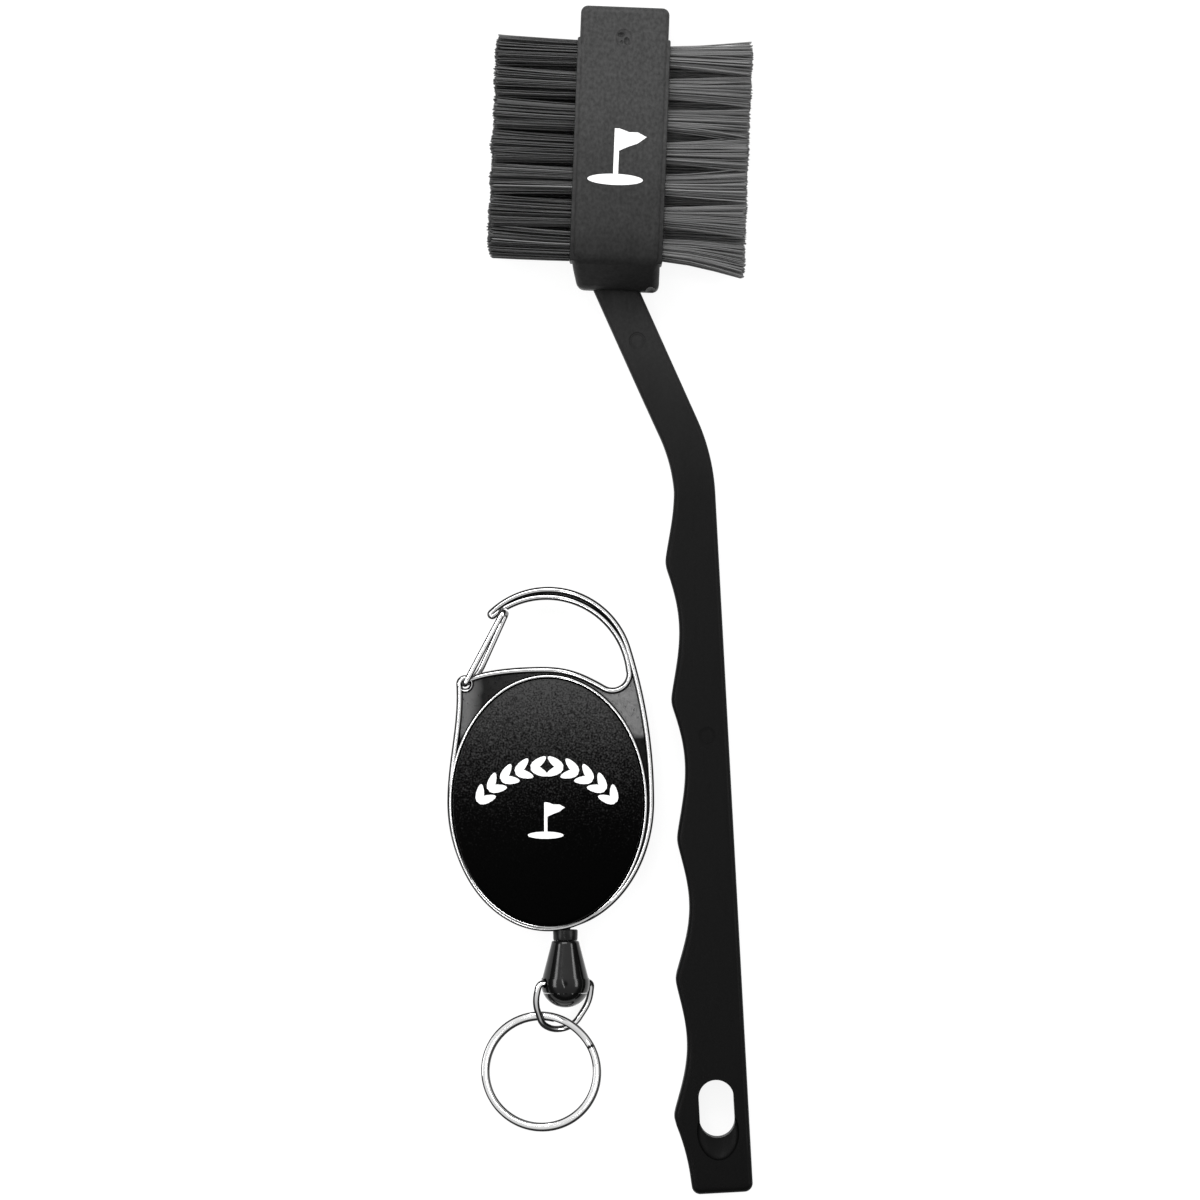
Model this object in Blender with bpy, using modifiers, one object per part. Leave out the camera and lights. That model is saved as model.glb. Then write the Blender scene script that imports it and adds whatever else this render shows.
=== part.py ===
"""Golf club groove brush and its retractable clip-on reel, lying flat side by side.

Run with: blender --background --python part.py
Frame: metres, +Z up from the surface it lies on, +Y towards the brush head, +X to the right,
origin at the middle of the footprint.
"""

import math

import bmesh
import bpy
from mathutils import Euler, Matrix, Vector
from mathutils.geometry import interpolate_bezier

MM = 0.001
GAP = 0.3 * MM  # clearance between pieces that touch
PAST = 1.0 * MM  # how far a cutter reaches past the face it opens
INTO = 0.6 * MM  # how far two shapes that are joined reach into each other

# ---------------------------------------------------------------- brush: driving sizes
HEAD_WIDTH = 15.8 * MM
HEAD_LENGTH = 51.9 * MM
HEAD_DEPTH = 16.0 * MM
HEAD_FROM_NECK = Vector((-1.456 * MM, 21.392 * MM, 0))  # its middle, from the end of the back edge
HEAD_LEAN = math.radians(-1.4)
HEAD_CHAMFER = 5.0 * MM  # length of the sloped end above the neck
HEAD_CHAMFER_DROP = 7.4 * MM
HEAD_EDGE = 1.1 * MM
PAD_HEIGHT = 0.8 * MM  # raised seat that the tufts stand in, on both sides
PAD_MARGIN = 0.5 * MM

HANDLE_THICKNESS = 7.0 * MM
HANDLE_EDGE = 1.1 * MM
TAIL_CORNER = Vector((28.34 * MM, -109.07 * MM, 0))  # lower end of the handle's straight back edge
GRIP_LEAN = math.radians(3.1)
GRIP_LENGTH = 129.3 * MM  # straight stretch of the back edge
BEND_RADIUS = 38.7 * MM
BEND_ANGLE = math.radians(21.1)
NECK_LENGTH = 31.0 * MM  # from the bend to inside the head block
NECK_WIDTH = 7.75 * MM
TAIL_WIDTH = 11.3 * MM
TAIL_ROUND = 1.6 * MM
FIRST_CREST = 14.3 * MM  # from the tail to the first crest between two fingers
FINGER_PITCH = 25.6 * MM
CREST_WIDTHS = [w * MM for w in (14.0, 12.3, 10.6, 10.3, 10.0)]
HOLLOW_WIDTHS = [w * MM for w in (10.7, 8.9, 8.3, 8.0, 7.6)]
HOLLOW_SKEW = 1.2  # over 1, a hollow starts gently above its lower crest and ends steeply at the upper

SLOT_WIDTH = 6.5 * MM
SLOT_LENGTH = 10.8 * MM
SLOT_FROM_TAIL = 15.6 * MM
SLOT_FROM_BACK = 5.9 * MM
SCOOP_RADIUS = 3.9 * MM
SCOOP_DEPTH = 1.2 * MM

TUFTS_OUTER_ROW = 7
TUFT_ROWS = 3
TUFT_PITCH = 5.9 * MM
TUFT_ROW_PITCH = 4.6 * MM
TUFT_ROOT_RADIUS = 2.1 * MM
TUFT_TIP_RADIUS = 2.5 * MM
TUFT_LENGTH = 15.9 * MM  # beyond the side of the head block
TUFT_HOLE_DEPTH = 5.8 * MM
FIELD_OFFSET = -0.5 * MM  # middle of the bristle field, along the head

# ---------------------------------------------------------------- reel: driving sizes
REEL_AT = Vector((-9.11 * MM, -37.02 * MM, 0))
CASE_DEPTH = 9.8 * MM
COVER_A = 17.6 * MM  # half width and half length of the oval covers
COVER_B = 22.9 * MM
COVER_AT = Vector((-0.5 * MM, -0.15 * MM, 0))
COVER_FLANGE = 2.8 * MM
COVER_ROOF = 1.4 * MM
COVER_WALL = 1.3 * MM
COVER_EDGE = 0.9 * MM
SEAT = 2.0 * MM  # how far the covers lie over the frame's oval hole

FRAME_THICKNESS = 3.6 * MM
FRAME_A = 19.15 * MM
FRAME_B = 23.7 * MM
FRAME_EDGE = 0.5 * MM
HOOK_CENTRE = Vector((-0.45 * MM, 23.86 * MM, 0))
HOOK_RADIUS = 15.95 * MM
HOOK_INNER_CENTRE = Vector((-0.8 * MM, 22.55 * MM, 0))
HOOK_INNER_RADIUS = 14.8 * MM
BOSS_AT = Vector((-15.85 * MM, 21.8 * MM, 0))
BOSS_RADIUS = 1.65 * MM
NOTCH_DEPTH = 0.1 * MM  # the notch's middle, past the hook's inner edge
SADDLE_X = -1.5 * MM
SADDLE_Y = 25.0 * MM  # top edge of the body, under the hook
RIM_WIDTH = 1.1 * MM
WEB_RECESS = 0.7 * MM

GATE_WIRE = 0.55 * MM  # wire radii
GATE_HOLE = 0.85 * MM
LEG_APART = 1.3 * MM  # the rear leg lies this far beside the front one
PIN_LENGTH = 1.1 * MM  # of each end, inside the boss's hole
GATE_BEND = 0.8 * MM
JOG = 2.2 * MM  # the rear leg bends back to the hole over about this length
BAIL_WIRE = 0.6 * MM
RING_RADIUS = 11.15 * MM  # outside
RING_BAND = 1.5 * MM
RING_COIL = 0.82 * MM  # thickness of one of the two coils

SPOOL_AT = Vector((-0.6 * MM, 1.4 * MM, 0))
SPOOL_RADIUS = COVER_A - 4.4 * MM
HUB_RADIUS = SPOOL_RADIUS - 3.6 * MM
HUB_WALL = 1.0 * MM
FLANGE = 0.7 * MM
GROOVE = 1.8 * MM
POST_RADIUS = 2.0 * MM
POST_CLEARANCE = 0.2 * MM
CORD_RADIUS = 0.35 * MM
WINDING_BUILD = 2.1 * MM
SPRING_TURNS = 6
SPRING_STRIP = 0.25 * MM
SPRING_HEIGHT = 4.4 * MM

OUTLET_X = 2.7 * MM  # the cord's line, from the middle of the frame
COLLAR_RADIUS = 2.3 * MM
COLLAR_BELOW_RIM = 0.2 * MM
COLLAR_END = -25.4 * MM
BUSH_RADIUS = 0.95 * MM
BUSH_BORE = 0.6 * MM
BUSH_LIP_RADIUS = 1.55 * MM
BUSH_LIP = 0.5 * MM
CORD_ENTRY = 0.6 * MM  # the cord turns into its line this far before the bush
CORD_BEND = 1.5 * MM

BELL_TOP_RADIUS = 2.6 * MM
BELL_RADIUS = 4.5 * MM
BELL_CONE = 7.9 * MM
BELL_WALL = 1.3 * MM
BELL_TOP_WALL = 2.4 * MM
BELL_SHOULDER = 0.4 * MM
BELL_SPLIT = 1.7 * MM  # where the end cap starts, below the cone
PLUG_LENGTH = 1.2 * MM  # how far the end cap reaches up into the shell
KNOT_RADIUS = 1.2 * MM
BELL_TURN = math.radians(30)  # the bell lies turned on its cord by this much
BAIL_DROOP = math.radians(18)
BAIL_HALF_WIDTH = BELL_RADIUS + 1.3 * MM
BAIL_LENGTH = BELL_RADIUS + 4.65 * MM
BAIL_HOLE = 0.9 * MM
BAIL_ABOVE_EDGE = 0.1 * MM  # its pivot, above the lower edge of the bell's cone
BAIL_BEND = 2.0 * MM
BAIL_SPLAY = 0.2 * MM
RING_X = -1.8 * MM
RING_BELOW_BAIL = 7.45 * MM  # from the bail's end to the ring's middle
RING_HEIGHT = 2.27 * MM
RING_TILT = math.radians(5)
RING_ROLL = math.radians(-5)
RING_SLIP = 0.15 * MM  # how far each coil sits off the ring's middle, along Y

# ---------------------------------------------------------------- colours
BLACK_PLASTIC = (0.018, 0.018, 0.019, 1)
COVER_BLACK = (0.012, 0.012, 0.012, 1)
CHROME = (0.86, 0.86, 0.87, 1)
BLACK_NYLON = (0.02, 0.02, 0.021, 1)
GREY_NYLON = (0.11, 0.11, 0.115, 1)
WHITE_ACETAL = (0.75, 0.75, 0.73, 1)
CORD_BLACK = (0.015, 0.015, 0.015, 1)
SPRING_STEEL = (0.35, 0.36, 0.38, 1)

# ---------------------------------------------------------------- scene and helpers
for old in list(bpy.data.objects):
    bpy.data.objects.remove(old)

parts = bpy.data.collections.new("club_groove_brush")
cutters = bpy.data.collections.new("cutters")
for collection in (parts, cutters):
    bpy.context.scene.collection.children.link(collection)


def material(name, colour, roughness, metallic=0.0):
    made = bpy.data.materials.new(name)
    made.use_nodes = True
    shader = made.node_tree.nodes["Principled BSDF"]
    shader.inputs["Base Color"].default_value = colour
    shader.inputs["Roughness"].default_value = roughness
    shader.inputs["Metallic"].default_value = metallic
    return made


plastic = material("black_plastic", BLACK_PLASTIC, 0.5)
cover_plastic = material("cover_plastic", COVER_BLACK, 0.55)
chrome = material("chrome", CHROME, 0.08, 1.0)
black_nylon = material("black_nylon", BLACK_NYLON, 0.4)
grey_nylon = material("grey_nylon", GREY_NYLON, 0.45)
acetal = material("white_acetal", WHITE_ACETAL, 0.4)
cord_black = material("cord_black", CORD_BLACK, 0.8)
spring_steel = material("spring_steel", SPRING_STEEL, 0.3, 1.0)


def empty(name, location, parent=None, rotation=(0, 0, 0)):
    made = bpy.data.objects.new(name, None)
    made.location = location
    made.rotation_euler = rotation
    made.parent = parent
    parts.objects.link(made)
    return made


def place(obj, look=None, parent=None):
    """Puts a piece in the parts collection, or a cutter, which has no material, in the cutters'."""
    for home in list(obj.users_collection):
        home.objects.unlink(obj)
    (parts if look else cutters).objects.link(obj)
    obj.parent = parent
    if look:
        obj.data.materials.clear()
        obj.data.materials.append(look)
    else:
        obj.hide_render = True
        obj.display_type = "WIRE"
    if obj.type == "MESH":
        obj.data.shade_smooth()
        obj.data.set_sharp_from_angle(angle=math.radians(35))
    return obj


def as_mesh(curve_obj):
    """The curve object as a welded mesh object; the curve is removed."""
    bpy.context.view_layer.update()
    graph = bpy.context.evaluated_depsgraph_get()
    mesh = bpy.data.meshes.new_from_object(curve_obj.evaluated_get(graph))
    work = bmesh.new()
    work.from_mesh(mesh)
    bmesh.ops.remove_doubles(work, verts=work.verts, dist=0.005 * MM)
    bmesh.ops.recalc_face_normals(work, faces=work.faces)
    work.to_mesh(mesh)
    work.free()
    name = curve_obj.name
    matrix = curve_obj.matrix_world.copy()
    bpy.data.objects.remove(curve_obj)
    made = bpy.data.objects.new(name, mesh)
    made.matrix_world = matrix
    return made


def spline_curve(name, outlines, dimensions, cyclic=True):
    curve = bpy.data.curves.new(name, "CURVE")
    curve.dimensions = dimensions
    for outline in outlines:
        spline = curve.splines.new("POLY")
        spline.points.add(len(outline) - 1)
        for point, at in zip(spline.points, outline):
            point.co = (at[0], at[1], at[2] if len(at) > 2 else 0, 1)
        spline.use_cyclic_u = cyclic
    made = bpy.data.objects.new(name, curve)
    cutters.objects.link(made)
    return made


def plate(name, outlines, low, high, edge=0.0, edge_steps=1):
    """A flat plate between two heights, its edges eased by that much; the outlines after the first
    are its holes."""
    made = spline_curve(name, outlines, "2D")
    made.data.fill_mode = "BOTH"
    made.data.extrude = (high - low) / 2 - edge
    made.data.bevel_depth = edge
    made.data.bevel_resolution = edge_steps - 1
    made.data.offset = -edge
    made.location.z = (high + low) / 2
    return as_mesh(made)


def tube(name, path, radius, cyclic=False, resolution=1):
    made = spline_curve(name, [path], "3D", cyclic)
    made.data.bevel_depth = radius
    made.data.bevel_resolution = resolution
    made.data.use_fill_caps = not cyclic
    return as_mesh(made)


def turned(name, profile, steps=40):
    """A profile of (radius, height) points, from the top down its outer side, turned about Z."""
    mesh = bpy.data.meshes.new(name)
    count = len(profile)
    on_axis = profile[0][0] == 0 and profile[-1][0] == 0
    edges = [(i, (i + 1) % count) for i in range(count - 1 if on_axis else count)]
    mesh.from_pydata([(r, 0, z) for r, z in profile], edges, [])
    made = bpy.data.objects.new(name, mesh)
    screw = made.modifiers.new("turn", "SCREW")
    screw.steps = steps
    screw.render_steps = steps
    screw.use_merge_vertices = True
    screw.merge_threshold = 0.002 * MM
    return made


def cylinder(name, radius, depth, sides=24):
    mesh = bpy.data.meshes.new(name)
    work = bmesh.new()
    bmesh.ops.create_cone(
        work, cap_ends=True, segments=sides, radius1=radius, radius2=radius, depth=depth
    )
    work.to_mesh(mesh)
    work.free()
    return bpy.data.objects.new(name, mesh)


def boolean(obj, other, operation="DIFFERENCE"):
    modifier = obj.modifiers.new(f"{operation.lower()}_{other.name}", "BOOLEAN")
    modifier.operation = operation
    modifier.object = other
    return modifier


def arc(centre, radius_x, radius_y, start, end, steps):
    """Points along an elliptic arc; start and end in degrees."""
    made = []
    for i in range(steps + 1):
        angle = math.radians(start + (end - start) * i / steps)
        made.append(
            Vector((centre[0] + radius_x * math.cos(angle), centre[1] + radius_y * math.sin(angle), 0))
        )
    return made


def oval(centre, radius_x, radius_y, steps=52):
    return arc(centre, radius_x, radius_y, 0, 360, steps)[:-1]


def rounded(path, radius, steps=4):
    """The path with each inner corner turned into an arc of about that radius."""
    made = [Vector(path[0])]
    for before, corner, after in zip(path, path[1:], path[2:]):
        corner = Vector(corner)
        into = Vector(before) - corner
        out = Vector(after) - corner
        reach = min(radius, into.length / 2.05, out.length / 2.05)
        first = corner + into.normalized() * reach
        last = corner + out.normalized() * reach
        for i in range(steps + 1):
            share = i / steps
            made.append(first.lerp(corner, share).lerp(corner.lerp(last, share), share))
    made.append(Vector(path[-1]))
    return made


# ---------------------------------------------------------------- brush handle and head
# One black moulding: a square head block with blind tuft holes in both sides, a cranked neck and a
# flat grip with finger hollows along one edge and a hanging slot in its tail.
grip_up = Vector((-math.sin(GRIP_LEAN), math.cos(GRIP_LEAN), 0))
grip_left = Vector((-math.cos(GRIP_LEAN), -math.sin(GRIP_LEAN), 0))
bend_start = TAIL_CORNER + grip_up * GRIP_LENGTH
bend_centre = bend_start + grip_left * BEND_RADIUS
BEND_LENGTH = BEND_RADIUS * BEND_ANGLE


def back_edge(along):
    """Point on the handle's back edge this far from the tail, and the direction to the finger side."""
    if along <= GRIP_LENGTH:
        return TAIL_CORNER + grip_up * along, grip_left
    turned_by = min(along - GRIP_LENGTH, BEND_LENGTH) / BEND_RADIUS
    left = Matrix.Rotation(turned_by, 3, "Z") @ grip_left
    point = bend_centre - left * BEND_RADIUS
    beyond = max(0.0, along - GRIP_LENGTH - BEND_LENGTH)
    up = Vector((left.y, -left.x, 0))
    return point + up * beyond, left


def hollow_shape(share):
    """0 on a crest, 1 in the middle of a finger hollow."""
    return math.sin(math.pi * share**HOLLOW_SKEW)


def handle_width(along):
    """Width from the back edge to the finger edge."""
    if along < FIRST_CREST:
        return TAIL_WIDTH + (CREST_WIDTHS[0] - TAIL_WIDTH) * (along / FIRST_CREST) ** 2
    fingers = (along - FIRST_CREST + 1e-9) / FINGER_PITCH
    finger = int(fingers)
    share = fingers - finger
    if fingers > len(HOLLOW_WIDTHS) - 0.5:
        blend = min(1.0, fingers - len(HOLLOW_WIDTHS) + 0.5)
        return HOLLOW_WIDTHS[-1] + (NECK_WIDTH - HOLLOW_WIDTHS[-1]) * blend
    upper = CREST_WIDTHS[min(finger + 1, len(CREST_WIDTHS) - 1)]
    crest = CREST_WIDTHS[finger] + (upper - CREST_WIDTHS[finger]) * share
    return crest + (HOLLOW_WIDTHS[finger] - crest) * hollow_shape(share)


handle_length = GRIP_LENGTH + BEND_LENGTH + NECK_LENGTH
STEPS_A_FINGER = 11  # a point falls on each crest
crest_from_tail = [FIRST_CREST + finger * FINGER_PITCH for finger in range(len(CREST_WIDTHS))]
along_edge = [TAIL_ROUND + (FIRST_CREST - TAIL_ROUND) * i / 5 for i in range(5)]
for crest in crest_from_tail:
    along_edge += [crest + FINGER_PITCH * i / STEPS_A_FINGER for i in range(STEPS_A_FINGER)]
along_edge += [crest_from_tail[-1] + FINGER_PITCH, handle_length]
finger_edge = []
for along in along_edge:
    point, left = back_edge(along)
    finger_edge.append(point + left * handle_width(along))
straight_back = [back_edge(along)[0] for along in (handle_length, GRIP_LENGTH + BEND_LENGTH)]
curved_back = [back_edge(GRIP_LENGTH + BEND_LENGTH * i / 8)[0] for i in range(7, -1, -1)]
tail_round_back = [
    TAIL_CORNER + grip_up * TAIL_ROUND * (1 - math.sin(a)) + grip_left * TAIL_ROUND * (1 - math.cos(a))
    for a in (math.radians(22.5 * i) for i in range(5))
]
tail_round_front = [
    TAIL_CORNER
    + grip_up * TAIL_ROUND * (1 - math.cos(a))
    + grip_left * (TAIL_WIDTH - TAIL_ROUND * (1 - math.sin(a)))
    for a in (math.radians(22.5 * i) for i in range(4))
]
handle_outline = finger_edge + straight_back + curved_back + tail_round_back + tail_round_front

brush_handle = plate("brush_handle", [handle_outline], 0, HANDLE_THICKNESS, HANDLE_EDGE, 2)
place(brush_handle, plastic)

head = empty("head_frame", back_edge(handle_length)[0] + HEAD_FROM_NECK, rotation=(0, 0, HEAD_LEAN))
half_length = HEAD_LENGTH / 2
head_side = [
    (-half_length, 0, 0),
    (half_length, 0, 0),
    (half_length, HEAD_DEPTH, 0),
    (-half_length + HEAD_CHAMFER, HEAD_DEPTH, 0),
    (-half_length, HEAD_DEPTH - HEAD_CHAMFER_DROP, 0),
]
SIDE_ON = Euler((math.pi / 2, 0, math.pi / 2))  # turns a plate drawn in XY so that it spans Y and Z

middle_of_back = [(0, 0, 0)]
head_corners = middle_of_back + head_side[1:] + head_side[:1] + middle_of_back
head_outline = rounded(head_corners, HEAD_EDGE, 2)[1:]
head_block = plate("head_block", [head_outline], -HEAD_WIDTH / 2, HEAD_WIDTH / 2, HEAD_EDGE, 2)
place(head_block, parent=head)
head_block.rotation_euler = SIDE_ON

field_half_length = (TUFTS_OUTER_ROW - 1) / 2 * TUFT_PITCH + TUFT_ROOT_RADIUS + GAP + PAD_MARGIN
field_half_depth = (TUFT_ROWS - 1) / 2 * TUFT_ROW_PITCH + TUFT_ROOT_RADIUS + GAP + PAD_MARGIN
pad_outline = [
    (FIELD_OFFSET + y * field_half_length, HEAD_DEPTH / 2 + z * field_half_depth)
    for y, z in ((-1, -1), (1, -1), (1, 1), (-1, 1))
]
pad_reach = HEAD_WIDTH / 2 + PAD_HEIGHT
head_pads = plate("head_pads", [pad_outline], -pad_reach, pad_reach)
place(head_pads, parent=head)
head_pads.rotation_euler = SIDE_ON


def tuft_places():
    """(y, z) of each tuft in the head's frame; the middle row stands between the outer two."""
    found = []
    for row in range(TUFT_ROWS):
        count = TUFTS_OUTER_ROW - row % 2
        for i in range(count):
            y = FIELD_OFFSET + (i - (count - 1) / 2) * TUFT_PITCH
            z = HEAD_DEPTH / 2 + (row - (TUFT_ROWS - 1) / 2) * TUFT_ROW_PITCH
            found.append((y, z))
    return found


TUFT_SIDES = 10
hole_bottom = pad_reach - TUFT_HOLE_DEPTH
drill = bmesh.new()
for side in (-1, 1):
    for y, z in tuft_places():
        depth = TUFT_HOLE_DEPTH + 2 * PAST
        at = Matrix.Translation((side * (hole_bottom + depth / 2), y, z))
        across = Matrix.Rotation(math.pi / 2, 4, "Y")
        bmesh.ops.create_cone(
            drill,
            cap_ends=True,
            segments=TUFT_SIDES,
            radius1=TUFT_ROOT_RADIUS + GAP,
            radius2=TUFT_ROOT_RADIUS + GAP,
            depth=depth,
            matrix=at @ across,
        )
tuft_holes = bpy.data.objects.new("tuft_holes", bpy.data.meshes.new("tuft_holes"))
drill.to_mesh(tuft_holes.data)
drill.free()
place(tuft_holes, parent=head)

slot_middle = TAIL_CORNER + grip_up * SLOT_FROM_TAIL + grip_left * SLOT_FROM_BACK
slot_straight = (SLOT_LENGTH - SLOT_WIDTH) / 2
slot_outline = [
    slot_middle + grip_up * (p.y + (slot_straight if p.y >= 0 else -slot_straight)) + grip_left * p.x
    for p in arc((0, 0), SLOT_WIDTH / 2, SLOT_WIDTH / 2, -0.01, 179.99, 10)
    + arc((0, 0), SLOT_WIDTH / 2, SLOT_WIDTH / 2, 180.01, 359.99, 10)
]
hanging_slot = plate("hanging_slot", [slot_outline], -2 * PAST, HANDLE_THICKNESS + 2 * PAST)
place(hanging_slot)

# The dished relief runs from the slot towards the tail, as deep as SCOOP_DEPTH at the slot's end.
scoop_reach = SLOT_LENGTH / 2 - SCOOP_RADIUS * 0.3
scoop = bpy.data.objects.new("scoop", bpy.data.meshes.new("scoop"))
ball = bmesh.new()
bmesh.ops.create_uvsphere(ball, u_segments=24, v_segments=12, radius=1)
ball.to_mesh(scoop.data)
ball.free()
scoop.data.transform(Matrix.Diagonal((SCOOP_RADIUS, SCOOP_RADIUS * 1.35, SCOOP_DEPTH * 1.2, 1)))
place(scoop)
scoop.location = slot_middle - grip_up * scoop_reach + Vector((0, 0, HANDLE_THICKNESS))
scoop.rotation_euler = (0, 0, GRIP_LEAN)

boolean(head_block, head_pads, "UNION")
boolean(brush_handle, head_block, "UNION")
boolean(brush_handle, tuft_holes)
boolean(brush_handle, hanging_slot)
boolean(brush_handle, scoop)

# ---------------------------------------------------------------- bristle tufts
# Each tuft is a bundle of nylon filament set in its own blind hole, fanning out to the trimmed end.
tuft_profile = [
    (0, pad_reach + TUFT_LENGTH - PAD_HEIGHT),
    (TUFT_TIP_RADIUS, pad_reach + TUFT_LENGTH - PAD_HEIGHT),
    (TUFT_ROOT_RADIUS, pad_reach + GAP),
    (TUFT_ROOT_RADIUS, hole_bottom + GAP),
    (0, hole_bottom + GAP),
]
for colour, look, side in (("black", black_nylon, -1), ("grey", grey_nylon, 1)):
    for number, (y, z) in enumerate(tuft_places(), 1):
        tuft = turned(f"{colour}_tuft_{number:02d}", tuft_profile, TUFT_SIDES)
        place(tuft, look, head)
        tuft.location = (0, y, z)
        tuft.rotation_euler = (0, side * math.pi / 2, 0)

# ---------------------------------------------------------------- carabiner frame
# Chrome-plated zinc die casting: an oval body with a through hole for the case, a recessed web in
# its shoulders, a pivot boss on the left shoulder and a hook that ends in a notched nose.
reel = empty("reel_frame", REEL_AT)
MID = CASE_DEPTH / 2
frame_low = MID - FRAME_THICKNESS / 2
frame_high = MID + FRAME_THICKNESS / 2
HOOK_END = 133.5  # degrees round the hook, where its rounded nose begins
HOOK_INNER_END = 129.5
HOOK_ROOT = 17
FILLET = 2.6 * MM
FILLET_UP = 1.2 * MM  # the fillet's middle, above the middle of the hook's inner arc
SIDE_PULL = 0.35  # how far each side keeps its direction, as a share of its height
BEZEL = 0.9 * MM  # raised rim round each cover
WEB_FROM_BOSS = 0.3 * MM


def bezier(first, first_handle, last_handle, last, steps):
    corners = [Vector(point) for point in (first, first_handle, last_handle, last)]
    return list(interpolate_bezier(*corners, steps))


def left_side(inset):
    """From the widest point up to the pivot boss."""
    low = Vector((-FRAME_A + inset, 0, 0))
    high = Vector((BOSS_AT.x - BOSS_RADIUS + inset, BOSS_AT.y, 0))
    pull = SIDE_PULL * high.y
    return bezier(low, low + Vector((0, pull, 0)), high - Vector((-0.06 * pull, pull, 0)), high, 7)


def right_side(inset):
    """From the hook's root down to the widest point."""
    out = Vector((math.cos(math.radians(HOOK_ROOT)), math.sin(math.radians(HOOK_ROOT)), 0))
    root = HOOK_CENTRE + out * (HOOK_RADIUS - inset)
    low = Vector((FRAME_A - inset, 0, 0))
    pull = SIDE_PULL * root.y
    return bezier(root, root + Vector((out.y, -out.x, 0)) * pull, low + Vector((0, pull, 0)), low, 9)


def saddle(inset):
    """The body's top edge under the hook, from the boss to the fillet beside the hook's root."""
    start = BOSS_AT + Vector((0.55 * BOSS_RADIUS, 0.82 * BOSS_RADIUS - inset, 0))
    crown = Vector((SADDLE_X, SADDLE_Y - inset, 0))
    fillet_at = HOOK_INNER_CENTRE + Vector((HOOK_INNER_RADIUS - FILLET, FILLET_UP, 0))
    turn = FILLET + inset
    fillet = arc(fillet_at, turn, turn, 240, 360, 7)
    slope = Vector((4.2 * MM, -2.4 * MM, 0))
    steep = Vector((2.2 * MM, 1.1 * MM, 0))
    rise = bezier(start, start + steep, crown - Vector((6 * MM, 0, 0)), crown, 7)
    fall = bezier(crown, crown + Vector((4.5 * MM, 0, 0)), fillet[0] - slope, fillet[0], 8)
    return rise + fall[1:] + fillet[1:]


fillet_end = math.degrees(math.asin(FILLET_UP / HOOK_INNER_RADIUS))
nose_outer = arc(HOOK_CENTRE, HOOK_RADIUS, HOOK_RADIUS, HOOK_END, HOOK_ROOT, 24)
inner_start = fillet_end + 5  # degrees; the fillet's last point stands for the first few
nose_inner = arc(HOOK_INNER_CENTRE, HOOK_INNER_RADIUS, HOOK_INNER_RADIUS, inner_start, HOOK_INNER_END, 22)
nose_middle = nose_inner[-1].lerp(nose_outer[0], 0.5)
nose_half = nose_inner[-1] - nose_middle
nose_from = math.degrees(math.atan2(nose_half.y, nose_half.x))
nose_round = arc(nose_middle, nose_half.length, nose_half.length, nose_from, nose_from - 180, 6)
boss_arc = arc(BOSS_AT, BOSS_RADIUS, BOSS_RADIUS, 172, 75, 4)
lower_half = arc((0, 0), FRAME_A, FRAME_B, 0, -180, 36)
frame_outline = (
    nose_outer
    + right_side(0)[1:]
    + lower_half[1:]
    + left_side(0)[1:-1]
    + boss_arc
    + saddle(0)
    + nose_inner
    + nose_round[1:-1]
)
hole_a = COVER_A - SEAT
hole_b = COVER_B - SEAT
frame_outlines = [frame_outline, oval(COVER_AT, hole_a, hole_b)]
carabiner_frame = plate("carabiner_frame", frame_outlines, frame_low, frame_high, FRAME_EDGE)
place(carabiner_frame, chrome, reel)

web_outline = (
    right_side(RIM_WIDTH)
    + arc((0, 0), FRAME_A - RIM_WIDTH, FRAME_B - RIM_WIDTH, 0, -180, 24)[1:]
    + left_side(RIM_WIDTH)[1:-1]
    + [BOSS_AT + Vector((-BOSS_RADIUS + RIM_WIDTH, -BOSS_RADIUS - WEB_FROM_BOSS, 0))]
    + [BOSS_AT + Vector((BOSS_RADIUS, -BOSS_RADIUS - WEB_FROM_BOSS, 0))]
    + [BOSS_AT + Vector((BOSS_RADIUS + 2 * WEB_FROM_BOSS, 0, 0))]
    + saddle(RIM_WIDTH)[4:-2]
)
bezel = oval(COVER_AT, COVER_A + BEZEL, COVER_B + BEZEL)
keep_bezel = place(plate("keep_bezel", [bezel], -PAST, CASE_DEPTH + PAST), parent=reel)
for name, low, high in (
    ("web_front", frame_high - WEB_RECESS, frame_high + PAST),
    ("web_back", frame_low - PAST, frame_low + WEB_RECESS),
):
    pocket = place(plate(name, [web_outline], low, high), parent=reel)
    boolean(pocket, keep_bezel)
    boolean(carabiner_frame, pocket)

HOLE_SIDES = 14
pivot_hole = place(cylinder("pivot_hole", GATE_HOLE, CASE_DEPTH, HOLE_SIDES), parent=reel)
pivot_hole.location = BOSS_AT + Vector((0, 0, MID))
NOTCH_ANGLE = math.radians(122.5)
notch_out = Vector((math.cos(NOTCH_ANGLE), math.sin(NOTCH_ANGLE), 0))
notch_at = HOOK_INNER_CENTRE + notch_out * (HOOK_INNER_RADIUS + NOTCH_DEPTH)
leg_z = FRAME_THICKNESS / 2 + GAP + GATE_WIRE
bar_at = notch_at - BOSS_AT
beside = Vector((bar_at.y, -bar_at.x, 0)).normalized() * LEG_APART
bar_skew = math.atan2(LEG_APART, 2 * leg_z)  # the bar crosses the nose a little aslant
nose_notch = place(cylinder("nose_notch", GATE_WIRE + GAP, CASE_DEPTH, HOLE_SIDES), parent=reel)
nose_notch.location = notch_at + beside / 2 + Vector((0, 0, MID))
nose_notch.rotation_euler = (0, -bar_skew, math.atan2(beside.y, beside.x))
rim_y = -FRAME_B * math.sqrt(1 - (OUTLET_X / FRAME_A) ** 2)
OUTLET_HOLE_LENGTH = 9 * MM
outlet_hole = place(cylinder("outlet_hole", BUSH_RADIUS + GAP, OUTLET_HOLE_LENGTH, 16), parent=reel)
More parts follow.
